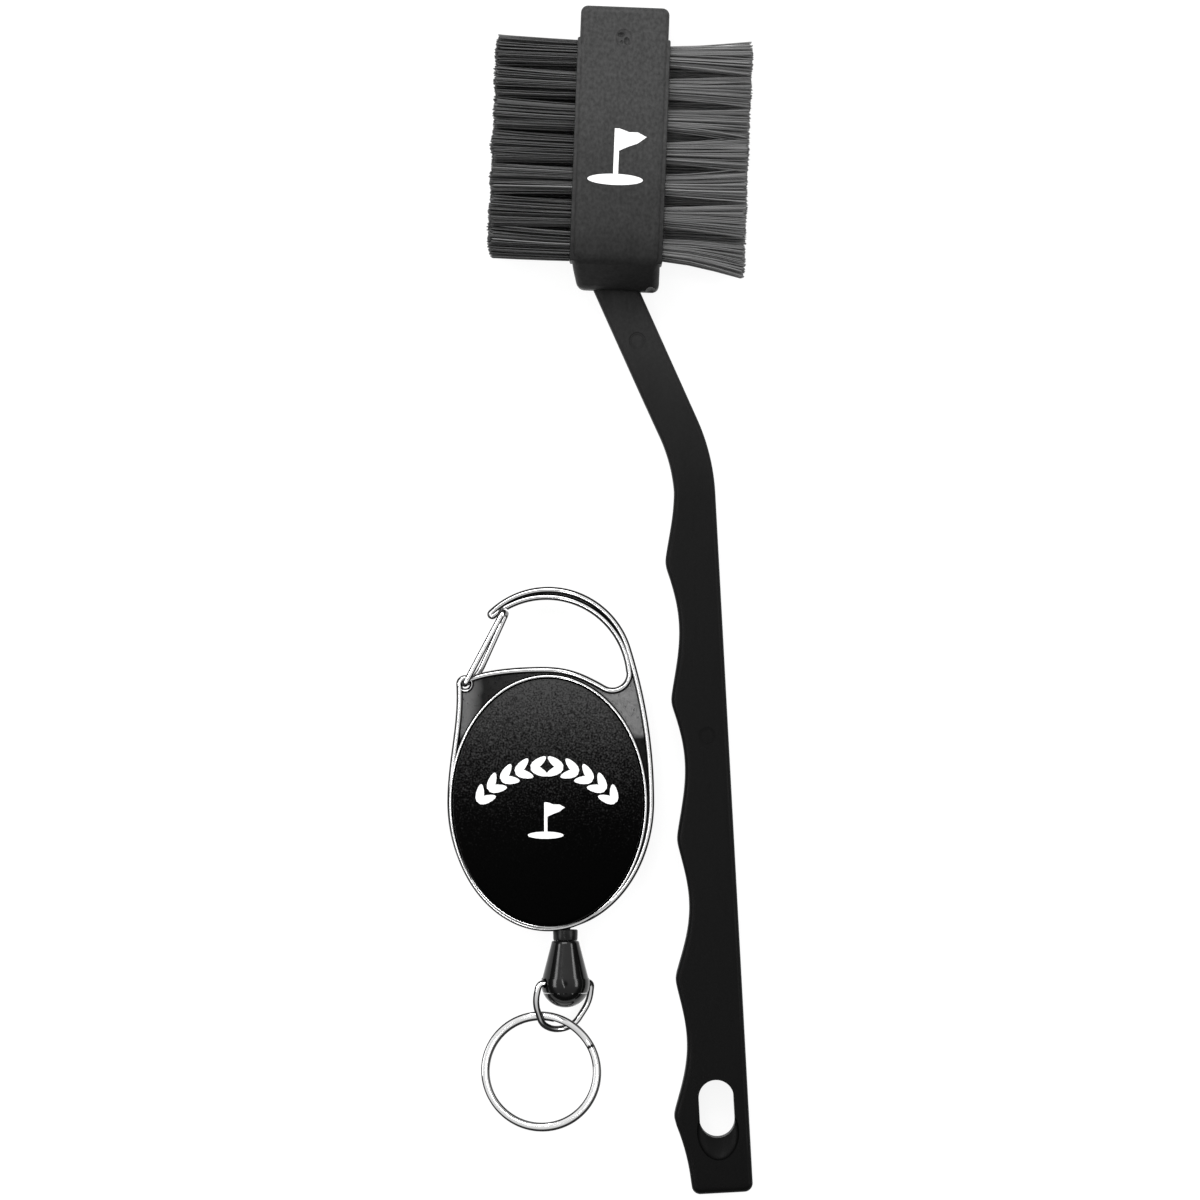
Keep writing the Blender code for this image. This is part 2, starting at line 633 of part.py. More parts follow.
outlet_hole.location = (OUTLET_X, rim_y + PAST, MID)
outlet_hole.rotation_euler = (math.pi / 2, 0, 0)
collar_top = rim_y - COLLAR_BELOW_RIM
collar_seat = place(cylinder("collar_seat", COLLAR_RADIUS + GAP, 2 * PAST, 24), parent=reel)
collar_seat.location = (OUTLET_X, collar_top + GAP - PAST, MID)
collar_seat.rotation_euler = (math.pi / 2, 0, 0)
for cutter in (pivot_hole, nose_notch, outlet_hole, collar_seat):
    boolean(carabiner_frame, cutter)

# ---------------------------------------------------------------- gate wire
# One bent spring-steel wire: a pin in each end of the boss's hole, a leg along each face, and a bar
# across the nose's notch. The rear leg runs beside the front one and jogs to the hole behind the boss.
pin_z = FRAME_THICKNESS / 2 - PIN_LENGTH
gate = empty("gate_frame", BOSS_AT + Vector((0, 0, MID)), reel)
jog = bar_at.normalized() * JOG
front = Vector((0, 0, leg_z))
gate_path = rounded(
    [
        Vector((0, 0, pin_z)),
        front,
        bar_at + front,
        bar_at + beside - front,
        jog * 1.7 + beside - front,
        jog * 0.6 + beside * 0.7 - front,
        -front,
        Vector((0, 0, -pin_z)),
    ],
    GATE_BEND,
)
gate_wire = place(tube("gate_wire", gate_path, GATE_WIRE), chrome, gate)

# ---------------------------------------------------------------- case covers
# Two black mouldings clamp the frame's oval hole between their flanges. Each spigot passes into the
# hole, and the rear one carries the post that the spool turns on.
spigot_a = hole_a - GAP
spigot_b = hole_b - GAP
cavity = oval(COVER_AT, spigot_a - COVER_WALL, spigot_b - COVER_WALL, 44)


def cover(name, outer_z, inner_z):
    """A cup whose roof is at outer_z and whose spigot ends at inner_z; inner_z is nearer the middle."""
    way = 1 if inner_z > outer_z else -1
    flange_z = outer_z + way * COVER_FLANGE
    lid = plate(name, [oval(COVER_AT, COVER_A, COVER_B)], *sorted((outer_z, flange_z)), COVER_EDGE, 2)
    place(lid, cover_plastic, reel)
    inside = outer_z + way * (COVER_FLANGE - INTO)
    spigot = plate(f"{name}_spigot", [oval(COVER_AT, spigot_a, spigot_b)], *sorted((inside, inner_z)))
    place(spigot, parent=reel)
    boolean(lid, spigot, "UNION")
    roof = outer_z + way * COVER_ROOF
    past = inner_z + way * PAST
    room = plate(f"{name}_room", [cavity], *sorted((roof, past)))
    place(room, parent=reel)
    boolean(lid, room)
    boolean(lid, outlet_hole)
    return lid


rear_cover = cover("rear_cover", 0, MID - GAP / 2)
front_cover = cover("front_cover", CASE_DEPTH, MID + GAP / 2)
post_height = CASE_DEPTH - 2 * COVER_ROOF - GAP + INTO
post = place(cylinder("post", POST_RADIUS, post_height, 32), parent=reel)
post.location = SPOOL_AT + Vector((0, 0, COVER_ROOF - INTO + post_height / 2))
boolean(rear_cover, post, "UNION")

# ---------------------------------------------------------------- spool, spring and winding
# The spool is a drum that turns on the post: the spring is coiled inside its hub, the cord is wound
# between its two flanges.
spool_empty = empty("spool_frame", SPOOL_AT + Vector((0, 0, MID)), reel)
hub_low = -MID + COVER_ROOF + GAP
hub_high = MID - COVER_ROOF - GAP
lower_out = -GROOVE / 2 - FLANGE
upper_out = GROOVE / 2 + FLANGE
spool_profile = [
    (HUB_RADIUS, hub_high),
    (HUB_RADIUS, upper_out),
    (SPOOL_RADIUS, upper_out),
    (SPOOL_RADIUS, GROOVE / 2),
    (HUB_RADIUS, GROOVE / 2),
    (HUB_RADIUS, -GROOVE / 2),
    (SPOOL_RADIUS, -GROOVE / 2),
    (SPOOL_RADIUS, lower_out),
    (HUB_RADIUS, lower_out),
    (HUB_RADIUS, hub_low),
    (POST_RADIUS + POST_CLEARANCE, hub_low),
    (POST_RADIUS + POST_CLEARANCE, hub_low + FLANGE),
    (HUB_RADIUS - HUB_WALL, hub_low + FLANGE),
    (HUB_RADIUS - HUB_WALL, hub_high),
]
spool = place(turned("spool", spool_profile, 36), acetal, spool_empty)

spring_low = hub_low + FLANGE + GAP
spring_high = min(spring_low + SPRING_HEIGHT, hub_high)
inner_radius = POST_RADIUS + GAP + SPRING_STRIP
outer_radius = HUB_RADIUS - HUB_WALL - GAP - SPRING_STRIP
STEPS_A_TURN = 20
ribbon = bmesh.new()
last_pair = None
for i in range(SPRING_TURNS * STEPS_A_TURN + 1):
    share = i / (SPRING_TURNS * STEPS_A_TURN)
    angle = 2 * math.pi * i / STEPS_A_TURN
    radius = inner_radius + (outer_radius - inner_radius) * share
    x, y = radius * math.cos(angle), radius * math.sin(angle)
    pair = (ribbon.verts.new((x, y, spring_low)), ribbon.verts.new((x, y, spring_high)))
    if last_pair:
        ribbon.faces.new((last_pair[0], pair[0], pair[1], last_pair[1]))
    last_pair = pair
power_spring = bpy.data.objects.new("power_spring", bpy.data.meshes.new("power_spring"))
ribbon.to_mesh(power_spring.data)
ribbon.free()
thicken = power_spring.modifiers.new("strip", "SOLIDIFY")
thicken.thickness = SPRING_STRIP
thicken.offset = 0
place(power_spring, spring_steel, spool_empty)

winding_in = HUB_RADIUS + GAP / 2
winding_out = winding_in + WINDING_BUILD
winding_half = GROOVE / 2 - GAP / 2
winding_profile = [
    (winding_out, winding_half),
    (winding_out, -winding_half),
    (winding_in, -winding_half),
    (winding_in, winding_half),
]
cord_winding = place(turned("cord_winding", winding_profile, 36), cord_black, spool_empty)

# ---------------------------------------------------------------- outlet bush, cord and knot
# The bush is trapped in the rim; its collar is the black ring below the frame. The cord leaves the
# winding at a tangent, passes the bush and ends in a knot inside the bell.
lip_across = (OUTLET_X - COVER_AT.x + BUSH_LIP_RADIUS) / (spigot_a - COVER_WALL)
wall_y = COVER_AT.y - (spigot_b - COVER_WALL) * math.sqrt(1 - lip_across**2)
bush_inner_end = wall_y + GAP + BUSH_LIP
bush_profile = [
    (BUSH_LIP_RADIUS, bush_inner_end),
    (BUSH_LIP_RADIUS, bush_inner_end - BUSH_LIP),
    (BUSH_RADIUS, bush_inner_end - BUSH_LIP),
    (BUSH_RADIUS, collar_top),
    (COLLAR_RADIUS, collar_top),
    (COLLAR_RADIUS * 0.94, COLLAR_END),
    (BUSH_BORE, COLLAR_END),
    (BUSH_BORE, bush_inner_end),
]
ALONG_Y = Euler((-math.pi / 2, 0, 0))  # turns +Z to +Y
cord_outlet_bush = place(turned("cord_outlet_bush", bush_profile, 20), plastic, reel)
cord_outlet_bush.location = (OUTLET_X, 0, MID)
cord_outlet_bush.rotation_euler = ALONG_Y

bell_top = COLLAR_END - GAP
bell_edge = bell_top - BELL_CONE
pivot_y = bell_edge + BAIL_ABOVE_EDGE
cord_end = empty("cord_end", (OUTLET_X, bell_top, MID), reel)

leave_radius = winding_out + CORD_RADIUS + GAP / 2
eye = Vector((OUTLET_X, bush_inner_end + CORD_ENTRY, 0)) - SPOOL_AT
reach = eye.length
tangent_angle = math.atan2(eye.y, eye.x) + math.acos(leave_radius / reach)
leave = SPOOL_AT + leave_radius * Vector((math.cos(tangent_angle), math.sin(tangent_angle), 0))
knot_y = bell_top - BELL_TOP_WALL - GAP - KNOT_RADIUS
lead_points = [
    leave,
    eye + SPOOL_AT,
    Vector((OUTLET_X, knot_y + KNOT_RADIUS + GAP / 2, 0)),
]
to_cord_end = Vector((-OUTLET_X, -bell_top, 0))
lead_path = [p + to_cord_end for p in rounded(lead_points, CORD_BEND)]
cord_lead = place(tube("cord_lead", lead_path, CORD_RADIUS), cord_black, cord_end)

knot_mesh = bpy.data.meshes.new("cord_knot")
ball = bmesh.new()
bmesh.ops.create_uvsphere(ball, u_segments=14, v_segments=8, radius=KNOT_RADIUS)
ball.to_mesh(knot_mesh)
ball.free()
cord_knot = place(bpy.data.objects.new("cord_knot", knot_mesh), cord_black, cord_end)
cord_knot.location = (0, knot_y - bell_top, 0)

# ---------------------------------------------------------------- bell and its end cap
# A hollow cone that swivels on the knot, closed below by a domed plug. The bail's two ends pivot in
# holes through its wall.
bell = empty("bell_frame", (0, 0, 0), cord_end, rotation=(0, BELL_TURN, 0))
split_y = -BELL_CONE - BELL_SPLIT


def dome_radius(y):
    """Radius of the rounded end at this height; it starts at the cone's edge."""
    return math.sqrt(max(0.0, BELL_RADIUS**2 - (y + BELL_CONE) ** 2))


cavity_top = -BELL_TOP_WALL
shell_profile = [
    (BELL_TOP_RADIUS - BELL_SHOULDER, 0),
    (BELL_TOP_RADIUS, -BELL_SHOULDER),
    (BELL_RADIUS, -BELL_CONE),
    (dome_radius(split_y / 2 - BELL_CONE / 2), split_y / 2 - BELL_CONE / 2),
    (dome_radius(split_y), split_y),
    (BELL_RADIUS - BELL_WALL, split_y),
    (BELL_RADIUS - BELL_WALL, -BELL_CONE + PLUG_LENGTH),
    (KNOT_RADIUS + 1.3 * GAP, cavity_top),
    (CORD_RADIUS + GAP, cavity_top),
    (CORD_RADIUS + GAP, 0),
]
bell_shell = place(turned("bell_shell", shell_profile, 28), plastic, bell)
bell_shell.rotation_euler = ALONG_Y

cap_top = split_y - GAP
plug = BELL_RADIUS - BELL_WALL - GAP
plug_top = split_y + PLUG_LENGTH
cap_profile = [(0, plug_top), (plug, plug_top), (plug, cap_top)]
CAP_STEPS = 5
for i in range(CAP_STEPS + 1):
    y = cap_top - (BELL_CONE + BELL_RADIUS + cap_top) * math.sin(math.pi / 2 * i / CAP_STEPS)
    cap_profile.append((dome_radius(y) if i < CAP_STEPS else 0, y))
bell_end_cap = place(turned("bell_end_cap", cap_profile, 28), plastic, bell)
bell_end_cap.rotation_euler = ALONG_Y

bail_holes = place(cylinder("bail_holes", BAIL_HOLE, 4 * BELL_RADIUS, 16), parent=bell)
bail_holes.location = (0, pivot_y - bell_top, 0)
bail_holes.rotation_euler = (0, math.pi / 2, 0)
boolean(bell_shell, bail_holes)

# ---------------------------------------------------------------- bail and split ring
# The bail is a bent wire loop that swings on the bell; the double-coil split ring runs through it.
bail = empty("bail_frame", (0, pivot_y - bell_top, 0), bell, rotation=(BAIL_DROOP, 0, 0))
half_bail = [
    Vector((BELL_RADIUS - BELL_WALL + BAIL_SPLAY, 0, 0)),
    Vector((BAIL_HALF_WIDTH - BAIL_SPLAY, 0, 0)),
    Vector((BAIL_HALF_WIDTH, -0.42 * BAIL_LENGTH, 0)),
    Vector((0.62 * BAIL_HALF_WIDTH, -0.88 * BAIL_LENGTH, 0)),
    Vector((0.22 * BAIL_HALF_WIDTH, -BAIL_LENGTH, 0)),
]
other_half = [Vector((-p.x, p.y, 0)) for p in reversed(half_bail)]
bail_path = rounded(half_bail + other_half, BAIL_BEND, 4)
bail_wire = place(tube("bail_wire", bail_path, BAIL_WIRE, resolution=2), chrome, bail)

ring_at = (RING_X, pivot_y - BAIL_LENGTH - RING_BELOW_BAIL, RING_HEIGHT)
ring_frame = empty("ring_frame", ring_at, reel, rotation=(RING_TILT, RING_ROLL, 0))
RING_STEPS = 32  # to a turn
RAMP = 2 * math.pi / 9  # share of a turn over which one coil climbs onto the other
END_GAP = math.radians(4)
COIL_CLEARANCE = 0.06 * MM
coil_pitch = RING_COIL + COIL_CLEARANCE
middle_radius = RING_RADIUS - RING_BAND / 2


def coil_height(angle):
    """Height of the wire's middle: the first turn is the lower coil, the second the upper."""
    share = min(1.0, max(0.0, (angle - 2 * math.pi) / RAMP + 0.5))
    return coil_pitch * (share * share * (3 - 2 * share) - 0.5)


SPLIT_AT = math.radians(52)
first_angle = RAMP / 2 + END_GAP
last_angle = 4 * math.pi - RAMP / 2 - END_GAP
ring_points = []
turn_steps = round((last_angle - first_angle) / (2 * math.pi) * RING_STEPS)
for i in range(turn_steps + 1):
    angle = first_angle + (last_angle - first_angle) * i / turn_steps
    at = angle + SPLIT_AT
    height = coil_height(angle)
    slip = 2 * RING_SLIP * height / coil_pitch
    ring_points.append(
        Vector((middle_radius * math.cos(at), middle_radius * math.sin(at) + slip, height))
    )
half_band = RING_BAND / 2
half_coil = RING_COIL / 2
BAND_CORNER = 0.25 * MM
band_section = rounded(
    [(0, half_coil, 0), (half_band, half_coil, 0), (half_band, -half_coil, 0), (-half_band, -half_coil, 0)]
    + [(-half_band, half_coil, 0), (0, half_coil, 0)],
    BAND_CORNER,
    1,
)[1:-1]
section = spline_curve("ring_section", [band_section], "2D")
section.hide_render = True
section.display_type = "WIRE"
ring_curve = spline_curve("split_ring", [ring_points], "3D", cyclic=False)
ring_curve.data.bevel_mode = "OBJECT"
ring_curve.data.bevel_object = section
ring_curve.data.twist_mode = "Z_UP"
ring_curve.data.use_fill_caps = True
split_ring = place(as_mesh(ring_curve), chrome, ring_frame)
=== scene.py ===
"""Club groove brush and its clip-on reel, side by side: the visible pieces on the CAD bodies."""

import math
import random

import bpy
import numpy as np
from mathutils import Matrix, Vector
from mathutils.geometry import interpolate_bezier


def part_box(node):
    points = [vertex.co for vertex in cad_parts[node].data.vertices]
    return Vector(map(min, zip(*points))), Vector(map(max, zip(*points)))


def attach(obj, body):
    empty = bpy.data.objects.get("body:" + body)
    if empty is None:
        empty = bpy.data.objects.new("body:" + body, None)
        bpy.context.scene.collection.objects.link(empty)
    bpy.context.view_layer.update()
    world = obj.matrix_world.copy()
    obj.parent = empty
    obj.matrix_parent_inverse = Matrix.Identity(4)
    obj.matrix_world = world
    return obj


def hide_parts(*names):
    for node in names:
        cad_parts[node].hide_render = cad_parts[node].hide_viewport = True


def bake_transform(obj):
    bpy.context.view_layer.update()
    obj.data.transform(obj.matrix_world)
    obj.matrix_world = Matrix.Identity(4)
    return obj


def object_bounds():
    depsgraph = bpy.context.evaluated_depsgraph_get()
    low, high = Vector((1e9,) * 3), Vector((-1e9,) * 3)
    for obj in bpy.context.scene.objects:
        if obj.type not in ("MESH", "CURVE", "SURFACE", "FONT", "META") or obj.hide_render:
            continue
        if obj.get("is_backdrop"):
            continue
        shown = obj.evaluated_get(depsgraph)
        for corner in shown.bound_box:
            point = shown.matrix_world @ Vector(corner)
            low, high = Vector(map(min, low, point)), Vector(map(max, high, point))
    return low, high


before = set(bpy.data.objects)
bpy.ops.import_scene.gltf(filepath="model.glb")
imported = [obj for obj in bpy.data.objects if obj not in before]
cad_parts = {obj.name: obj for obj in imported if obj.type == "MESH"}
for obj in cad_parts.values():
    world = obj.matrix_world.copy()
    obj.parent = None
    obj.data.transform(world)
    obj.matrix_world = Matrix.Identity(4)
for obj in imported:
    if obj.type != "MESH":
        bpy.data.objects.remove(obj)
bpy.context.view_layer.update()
MM = 0.001

# ---------------- camera, surface and light
# A camera straight above, a plain white surface, and a soft studio: an overhead glow, three soft
# boxes, and a narrow strip that puts the long white lines on the chrome and the bell.
CAMERA_HEIGHT = 1.5
CAMERA_NORTH = 0.33 * MM  # how far it stands from the middle, towards the brush head
FRAME_WIDTH = 221.85 * MM  # what the camera sees at the height of the handle's face
HANDLE_FACE = 7.0 * MM
SENSOR = 36.0  # millimetres, as Blender counts it

scene = bpy.context.scene
camera_data = bpy.data.cameras.new("studio_camera")
camera_data.sensor_width = SENSOR
camera_data.lens = SENSOR * (CAMERA_HEIGHT - HANDLE_FACE) / FRAME_WIDTH
camera_data.clip_end = 20  # metres
camera = bpy.data.objects.new("studio_camera", camera_data)
camera.location = (0, CAMERA_NORTH, CAMERA_HEIGHT)
scene.collection.objects.link(camera)
scene.camera = camera
scene.view_settings.view_transform = "Standard"


def graded(tree, stops):
    """A node that turns a factor into grey levels by (position, level) stops."""
    made = tree.nodes.new("ShaderNodeValToRGB")
    elements = made.color_ramp.elements
    for i, (position, level) in enumerate(stops):
        stop = elements[i] if i < 2 else elements.new(position)
        stop.position = position
        stop.color = (level, level, level, 1)
    return made


ROOM_GLOW = (  # sine of height, brightness
    (0.0, 0.02), (0.35, 0.05), (0.55, 0.60),
    (0.97, 0.60), (0.99, 0.14), (1.0, 0.11),
)
world = bpy.data.worlds.new("studio_room")
world.use_nodes = True
scene.world = world
room = world.node_tree
direction = room.nodes.new("ShaderNodeTexCoord")
split = room.nodes.new("ShaderNodeSeparateXYZ")
glow = graded(room, ROOM_GLOW)
north = room.nodes.new("ShaderNodeMapRange")  # the room is brighter beyond the brush head
north.inputs["From Min"].default_value = -1.0
north.inputs["To Min"].default_value = 0.7
north.inputs["To Max"].default_value = 2.4
room.links.new(direction.outputs["Generated"], split.inputs["Vector"])
room.links.new(split.outputs["Z"], glow.inputs["Fac"])
room.links.new(split.outputs["Y"], north.inputs["Value"])
room.links.new(glow.outputs["Color"], room.nodes["Background"].inputs["Color"])
room.links.new(north.outputs["Result"], room.nodes["Background"].inputs["Strength"])

SOFT_BOXES = (  # name, place, width, length, watts
    ("north_box", (-0.15, 0.75, 0.85), 0.75, 0.45, 7.0),
    ("west_box", (-0.95, 0.05, 0.75), 0.90, 0.30, 6.0),
    ("east_box", (0.95, 0.10, 0.70), 0.90, 0.25, 5.0),
    ("strip_box", (-0.16, -0.05, 0.80), 0.60, 0.04, 0.8),
)
for name, place, width, length, watts in SOFT_BOXES:
    box_data = bpy.data.lights.new(name, "AREA")
    box_data.shape = "RECTANGLE"
    box_data.size = width
    box_data.size_y = length
    box_data.energy = watts
    box = bpy.data.objects.new(name, box_data)
    box.location = place
    box.rotation_mode = "QUATERNION"
    box.rotation_quaternion = (-Vector(place)).to_track_quat("-Z", "Y")
    scene.collection.objects.link(box)


def finish(name, colour, roughness, metallic=0.0, specular=0.5):
    """A new material with these plain values."""
    look = bpy.data.materials.new(name)
    look.use_nodes = True
    shader = look.node_tree.nodes["Principled BSDF"]
    shader.inputs["Base Color"].default_value = (*colour, 1)
    shader.inputs["Roughness"].default_value = roughness
    shader.inputs["Metallic"].default_value = metallic
    shader.inputs["Specular IOR Level"].default_value = specular
    return look


FLOOR_SIDE = 4.0
FLOOR_GAP = 0.05 * MM  # keeps the surface clear of the faces that rest on it
bpy.ops.object.select_all(action="DESELECT")
bpy.ops.mesh.primitive_plane_add(size=FLOOR_SIDE, location=(0, 0, -FLOOR_GAP))
floor = bpy.context.object
floor.name = "white_surface"
floor_look = finish("white_surface", (0.16, 0.16, 0.16), 0.9, specular=0.1)
floor_shader = floor_look.node_tree.nodes["Principled BSDF"]
floor_shader.inputs["Emission Color"].default_value = (1, 1, 1, 1)
floor_shader.inputs["Emission Strength"].default_value = 0.88
floor.data.materials.append(floor_look)
floor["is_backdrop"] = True

# ---------------- brush moulding
# Head block, neck and finger grip are one moulding in black polypropylene. Its head is matt, its
# handle smoother; the head is painted lighter and the grip painted darker towards the tail, a
# painted light gradient. Moulding marks and the hanging slot are part of the same shot.
BACK_CORNER = Vector((28.34, -109.07, 0)) * MM  # of the tail, as if it were square
LEAN = math.radians(3.1)  # of the straight grip, to the left
STRAIGHT = 129.3 * MM
BEND_RADIUS = 38.7 * MM
BEND = BEND_RADIUS * math.radians(21.1)
NECK = 31.0 * MM
NECK_WIDTH = 7.75 * MM
TAIL_WIDTH = 11.3 * MM
TAIL_ROUND = 1.6 * MM
FIRST_CREST = 14.3 * MM  # from the tail
PITCH = 25.6 * MM  # from one crest to the next
CRESTS = [w * MM for w in (14.0, 12.3, 10.6, 10.3, 10.0)]
HOLLOWS = [w * MM for w in (10.7, 8.9, 8.3, 8.0, 7.6)]
HOLLOW_SKEW = 1.2  # each hollow is deepest a little past its middle
CREST_ROUND = 1.1 * MM  # each crest is rounded over this much of the edge, either way
POINTS_A_FINGER = 40
EASED_EDGE = 1.1 * MM
up = Vector((-math.sin(LEAN), math.cos(LEAN), 0))
left = Vector((-math.cos(LEAN), -math.sin(LEAN), 0))


def alone(piece):
    """Selects just this piece and makes it the active one."""
    bpy.ops.object.select_all(action="DESELECT")
    piece.select_set(True)
    bpy.context.view_layer.objects.active = piece


def back_edge(along):
    """Point on the handle's back edge, and the way across to the finger side."""
    if along <= STRAIGHT:
        return BACK_CORNER + up * along, left
    turned = min(along - STRAIGHT, BEND) / BEND_RADIUS
    across = Matrix.Rotation(turned, 3, "Z") @ left
    centre = BACK_CORNER + up * STRAIGHT + left * BEND_RADIUS
    ahead = Vector((across.y, -across.x, 0))
    return centre - across * BEND_RADIUS + ahead * max(0, along - STRAIGHT - BEND), across


def grip_width(along):
    """Width of the grip: crests between the fingers, hollows under them, and the plain neck."""
    if along < FIRST_CREST:
        return TAIL_WIDTH + (CRESTS[0] - TAIL_WIDTH) * (along / FIRST_CREST) ** 2
    fingers = (along - FIRST_CREST + 1e-9) / PITCH
    finger = int(fingers)
    if fingers > len(HOLLOWS) - 0.5:
        share = min(1, fingers - len(HOLLOWS) + 0.5)
        return HOLLOWS[-1] + (NECK_WIDTH - HOLLOWS[-1]) * share * share * (3 - 2 * share)
    share = fingers - finger
    next_crest = CRESTS[min(finger + 1, len(CRESTS) - 1)]
    crest = CRESTS[finger] + (next_crest - CRESTS[finger]) * share
    return crest + (HOLLOWS[finger] - crest) * math.sin(math.pi * share**HOLLOW_SKEW)


def drawn(name, outlines, dimensions, closed=True):
    """A curve object through these points."""
    curve = bpy.data.curves.new(name, "CURVE")
    curve.dimensions = dimensions
    for outline in outlines:
        spline = curve.splines.new("POLY")
        spline.points.add(len(outline) - 1)
        for point, at in zip(spline.points, outline):
            point.co = (*Vector(at).to_3d(), 1)
        spline.use_cyclic_u = closed
    piece = bpy.data.objects.new(name, curve)
    scene.collection.objects.link(piece)
    return piece


def faced_out(piece, merge=0.0):
    """Merges points closer than this, and turns every face outwards."""
    alone(piece)
    bpy.ops.object.mode_set(mode="EDIT")
    bpy.ops.mesh.select_all(action="SELECT")
    if merge:
        bpy.ops.mesh.remove_doubles(threshold=merge)
    bpy.ops.mesh.normals_make_consistent(inside=False)
    bpy.ops.object.mode_set(mode="OBJECT")
    return piece


def meshed(piece):
    """The curve turned into a closed mesh that faces outwards."""
    alone(piece)
    bpy.ops.object.convert(target="MESH")
    return faced_out(piece, 0.004 * MM)


def plate(name, outlines, low, high, edge=0.0, steps=1):
    """A flat plate between two heights with rounded edges; outlines after the first are holes."""
    piece = drawn(name, outlines, "2D")
    piece.data.fill_mode = "BOTH"
    piece.data.extrude = (high - low) / 2 - edge
    piece.data.bevel_depth = edge
    piece.data.bevel_resolution = steps - 1
    piece.data.offset = -edge
    meshed(piece)
    piece.data.transform(Matrix.Translation((0, 0, (high + low) / 2)))
    return piece


def joined(piece, other, operation="DIFFERENCE"):
    """Cuts the other shape from the piece, or adds it, and throws the other away."""
    cut = piece.modifiers.new("join", "BOOLEAN")
    cut.operation = operation
    cut.object = other
    alone(piece)
    bpy.ops.object.modifier_apply(modifier=cut.name)
    bpy.data.objects.remove(other)
    return piece


def smoothed(piece, sharp=35):
    """Smooth faces with crisp edges; big flat faces keep their own direction."""
    alone(piece)
    bpy.ops.object.shade_smooth_by_angle(angle=math.radians(sharp))
    weigh = piece.modifiers.new("weigh", "WEIGHTED_NORMAL")
    weigh.keep_sharp = True
    bpy.ops.object.modifier_apply(modifier=weigh.name)
    return piece


finger_side = [TAIL_ROUND + (FIRST_CREST - TAIL_ROUND) * i / 9 for i in range(1, 9)]
finger_points = len(HOLLOWS) * POINTS_A_FINGER + POINTS_A_FINGER // 2 + 1
finger_side += [FIRST_CREST + PITCH * i / POINTS_A_FINGER for i in range(finger_points)]
whole = STRAIGHT + BEND + NECK
finger_side.append(whole)
outline = []
for along in finger_side:
    point, across = back_edge(along)
    eased = [grip_width(max(0, along + CREST_ROUND * i / 4)) for i in range(-4, 5)]
    outline.append(point + across * sum(eased) / len(eased))
for along in [whole] + [STRAIGHT + BEND * i / 24 for i in range(24, -1, -1)]:
    outline.append(back_edge(along)[0])
quarter = [math.pi / 2 * i / 8 for i in range(9)]
for turn in quarter:
    reach = TAIL_ROUND * (1 - math.cos(turn))
    outline.append(BACK_CORNER + up * TAIL_ROUND * (1 - math.sin(turn)) + left * reach)
for turn in quarter:
    reach = TAIL_WIDTH - TAIL_ROUND * (1 - math.sin(turn))
    outline.append(BACK_CORNER + up * TAIL_ROUND * (1 - math.cos(turn)) + left * reach)
moulding = plate("brush_moulding", [outline], 0, HANDLE_FACE, EASED_EDGE, 5)

HEAD_MIDDLE = Vector((3.7, 83.48, 0)) * MM
HEAD_LEAN = math.radians(-2.2)
HEAD = Matrix.Translation(HEAD_MIDDLE) @ Matrix.Rotation(HEAD_LEAN, 4, "Z")
HEAD_SIZE = Vector((16.3, 51.9, 16.0)) * MM
SLOPE = 5.0 * MM  # length of the sloped end by the neck, and how far its top drops
SLOPE_DROP = 7.4 * MM
HEAD_ROUND = 1.3 * MM
PAD = 0.4 * MM  # how far each side stands proud where the tuft holes are
PAD_EDGE = 0.3 * MM
TAPER = 0.92  # the sloped end is narrower than the rest, on its left
NEAR = 0.01 * MM  # close enough to count as on a face
FIELD_MIDDLE = -0.5 * MM  # the field of tuft holes on each side
TUFT_PITCH = 5.9 * MM
ROW_PITCH = 4.6 * MM
HOLE_RADIUS = 2.4 * MM
HOLE_DEPTH = 5.8 * MM
AROUND_HOLES = 2.9 * MM

bpy.ops.object.select_all(action="DESELECT")
bpy.ops.mesh.primitive_cube_add(size=1, location=(0, 0, HEAD_SIZE.z / 2), scale=HEAD_SIZE)
block = bpy.context.object
bpy.ops.object.transform_apply(location=True, rotation=False, scale=True)
bpy.ops.object.mode_set(mode="EDIT")
bpy.ops.mesh.select_all(action="SELECT")
bpy.ops.mesh.bisect(plane_co=(0, SLOPE - HEAD_SIZE.y / 2, 0), plane_no=(0, 1, 0))


def pick_end(piece, above):
    """In edit mode, selects the points of the end by the neck that lie above this height."""
    bpy.ops.mesh.select_all(action="DESELECT")
    bpy.ops.object.mode_set(mode="OBJECT")
    for vertex in piece.data.vertices:
        vertex.select = vertex.co.y < NEAR - HEAD_SIZE.y / 2 and vertex.co.z > above
    bpy.ops.object.mode_set(mode="EDIT")


pick_end(block, HEAD_SIZE.z - NEAR)
bpy.ops.transform.translate(value=(0, 0, -SLOPE_DROP))
pick_end(block, -NEAR)
end_corner = (HEAD_SIZE.x / 2, -HEAD_SIZE.y / 2, 0)
bpy.ops.transform.resize(value=(TAPER, 1, 1), center_override=end_corner)
bpy.ops.mesh.select_all(action="SELECT")
bpy.ops.mesh.dissolve_limited(angle_limit=math.radians(1))
bpy.ops.mesh.select_all(action="SELECT")
bpy.ops.mesh.bevel(offset=HEAD_ROUND, segments=6, affect="EDGES")
bpy.ops.object.mode_set(mode="OBJECT")
block.data.transform(HEAD)
joined(moulding, block, "UNION")

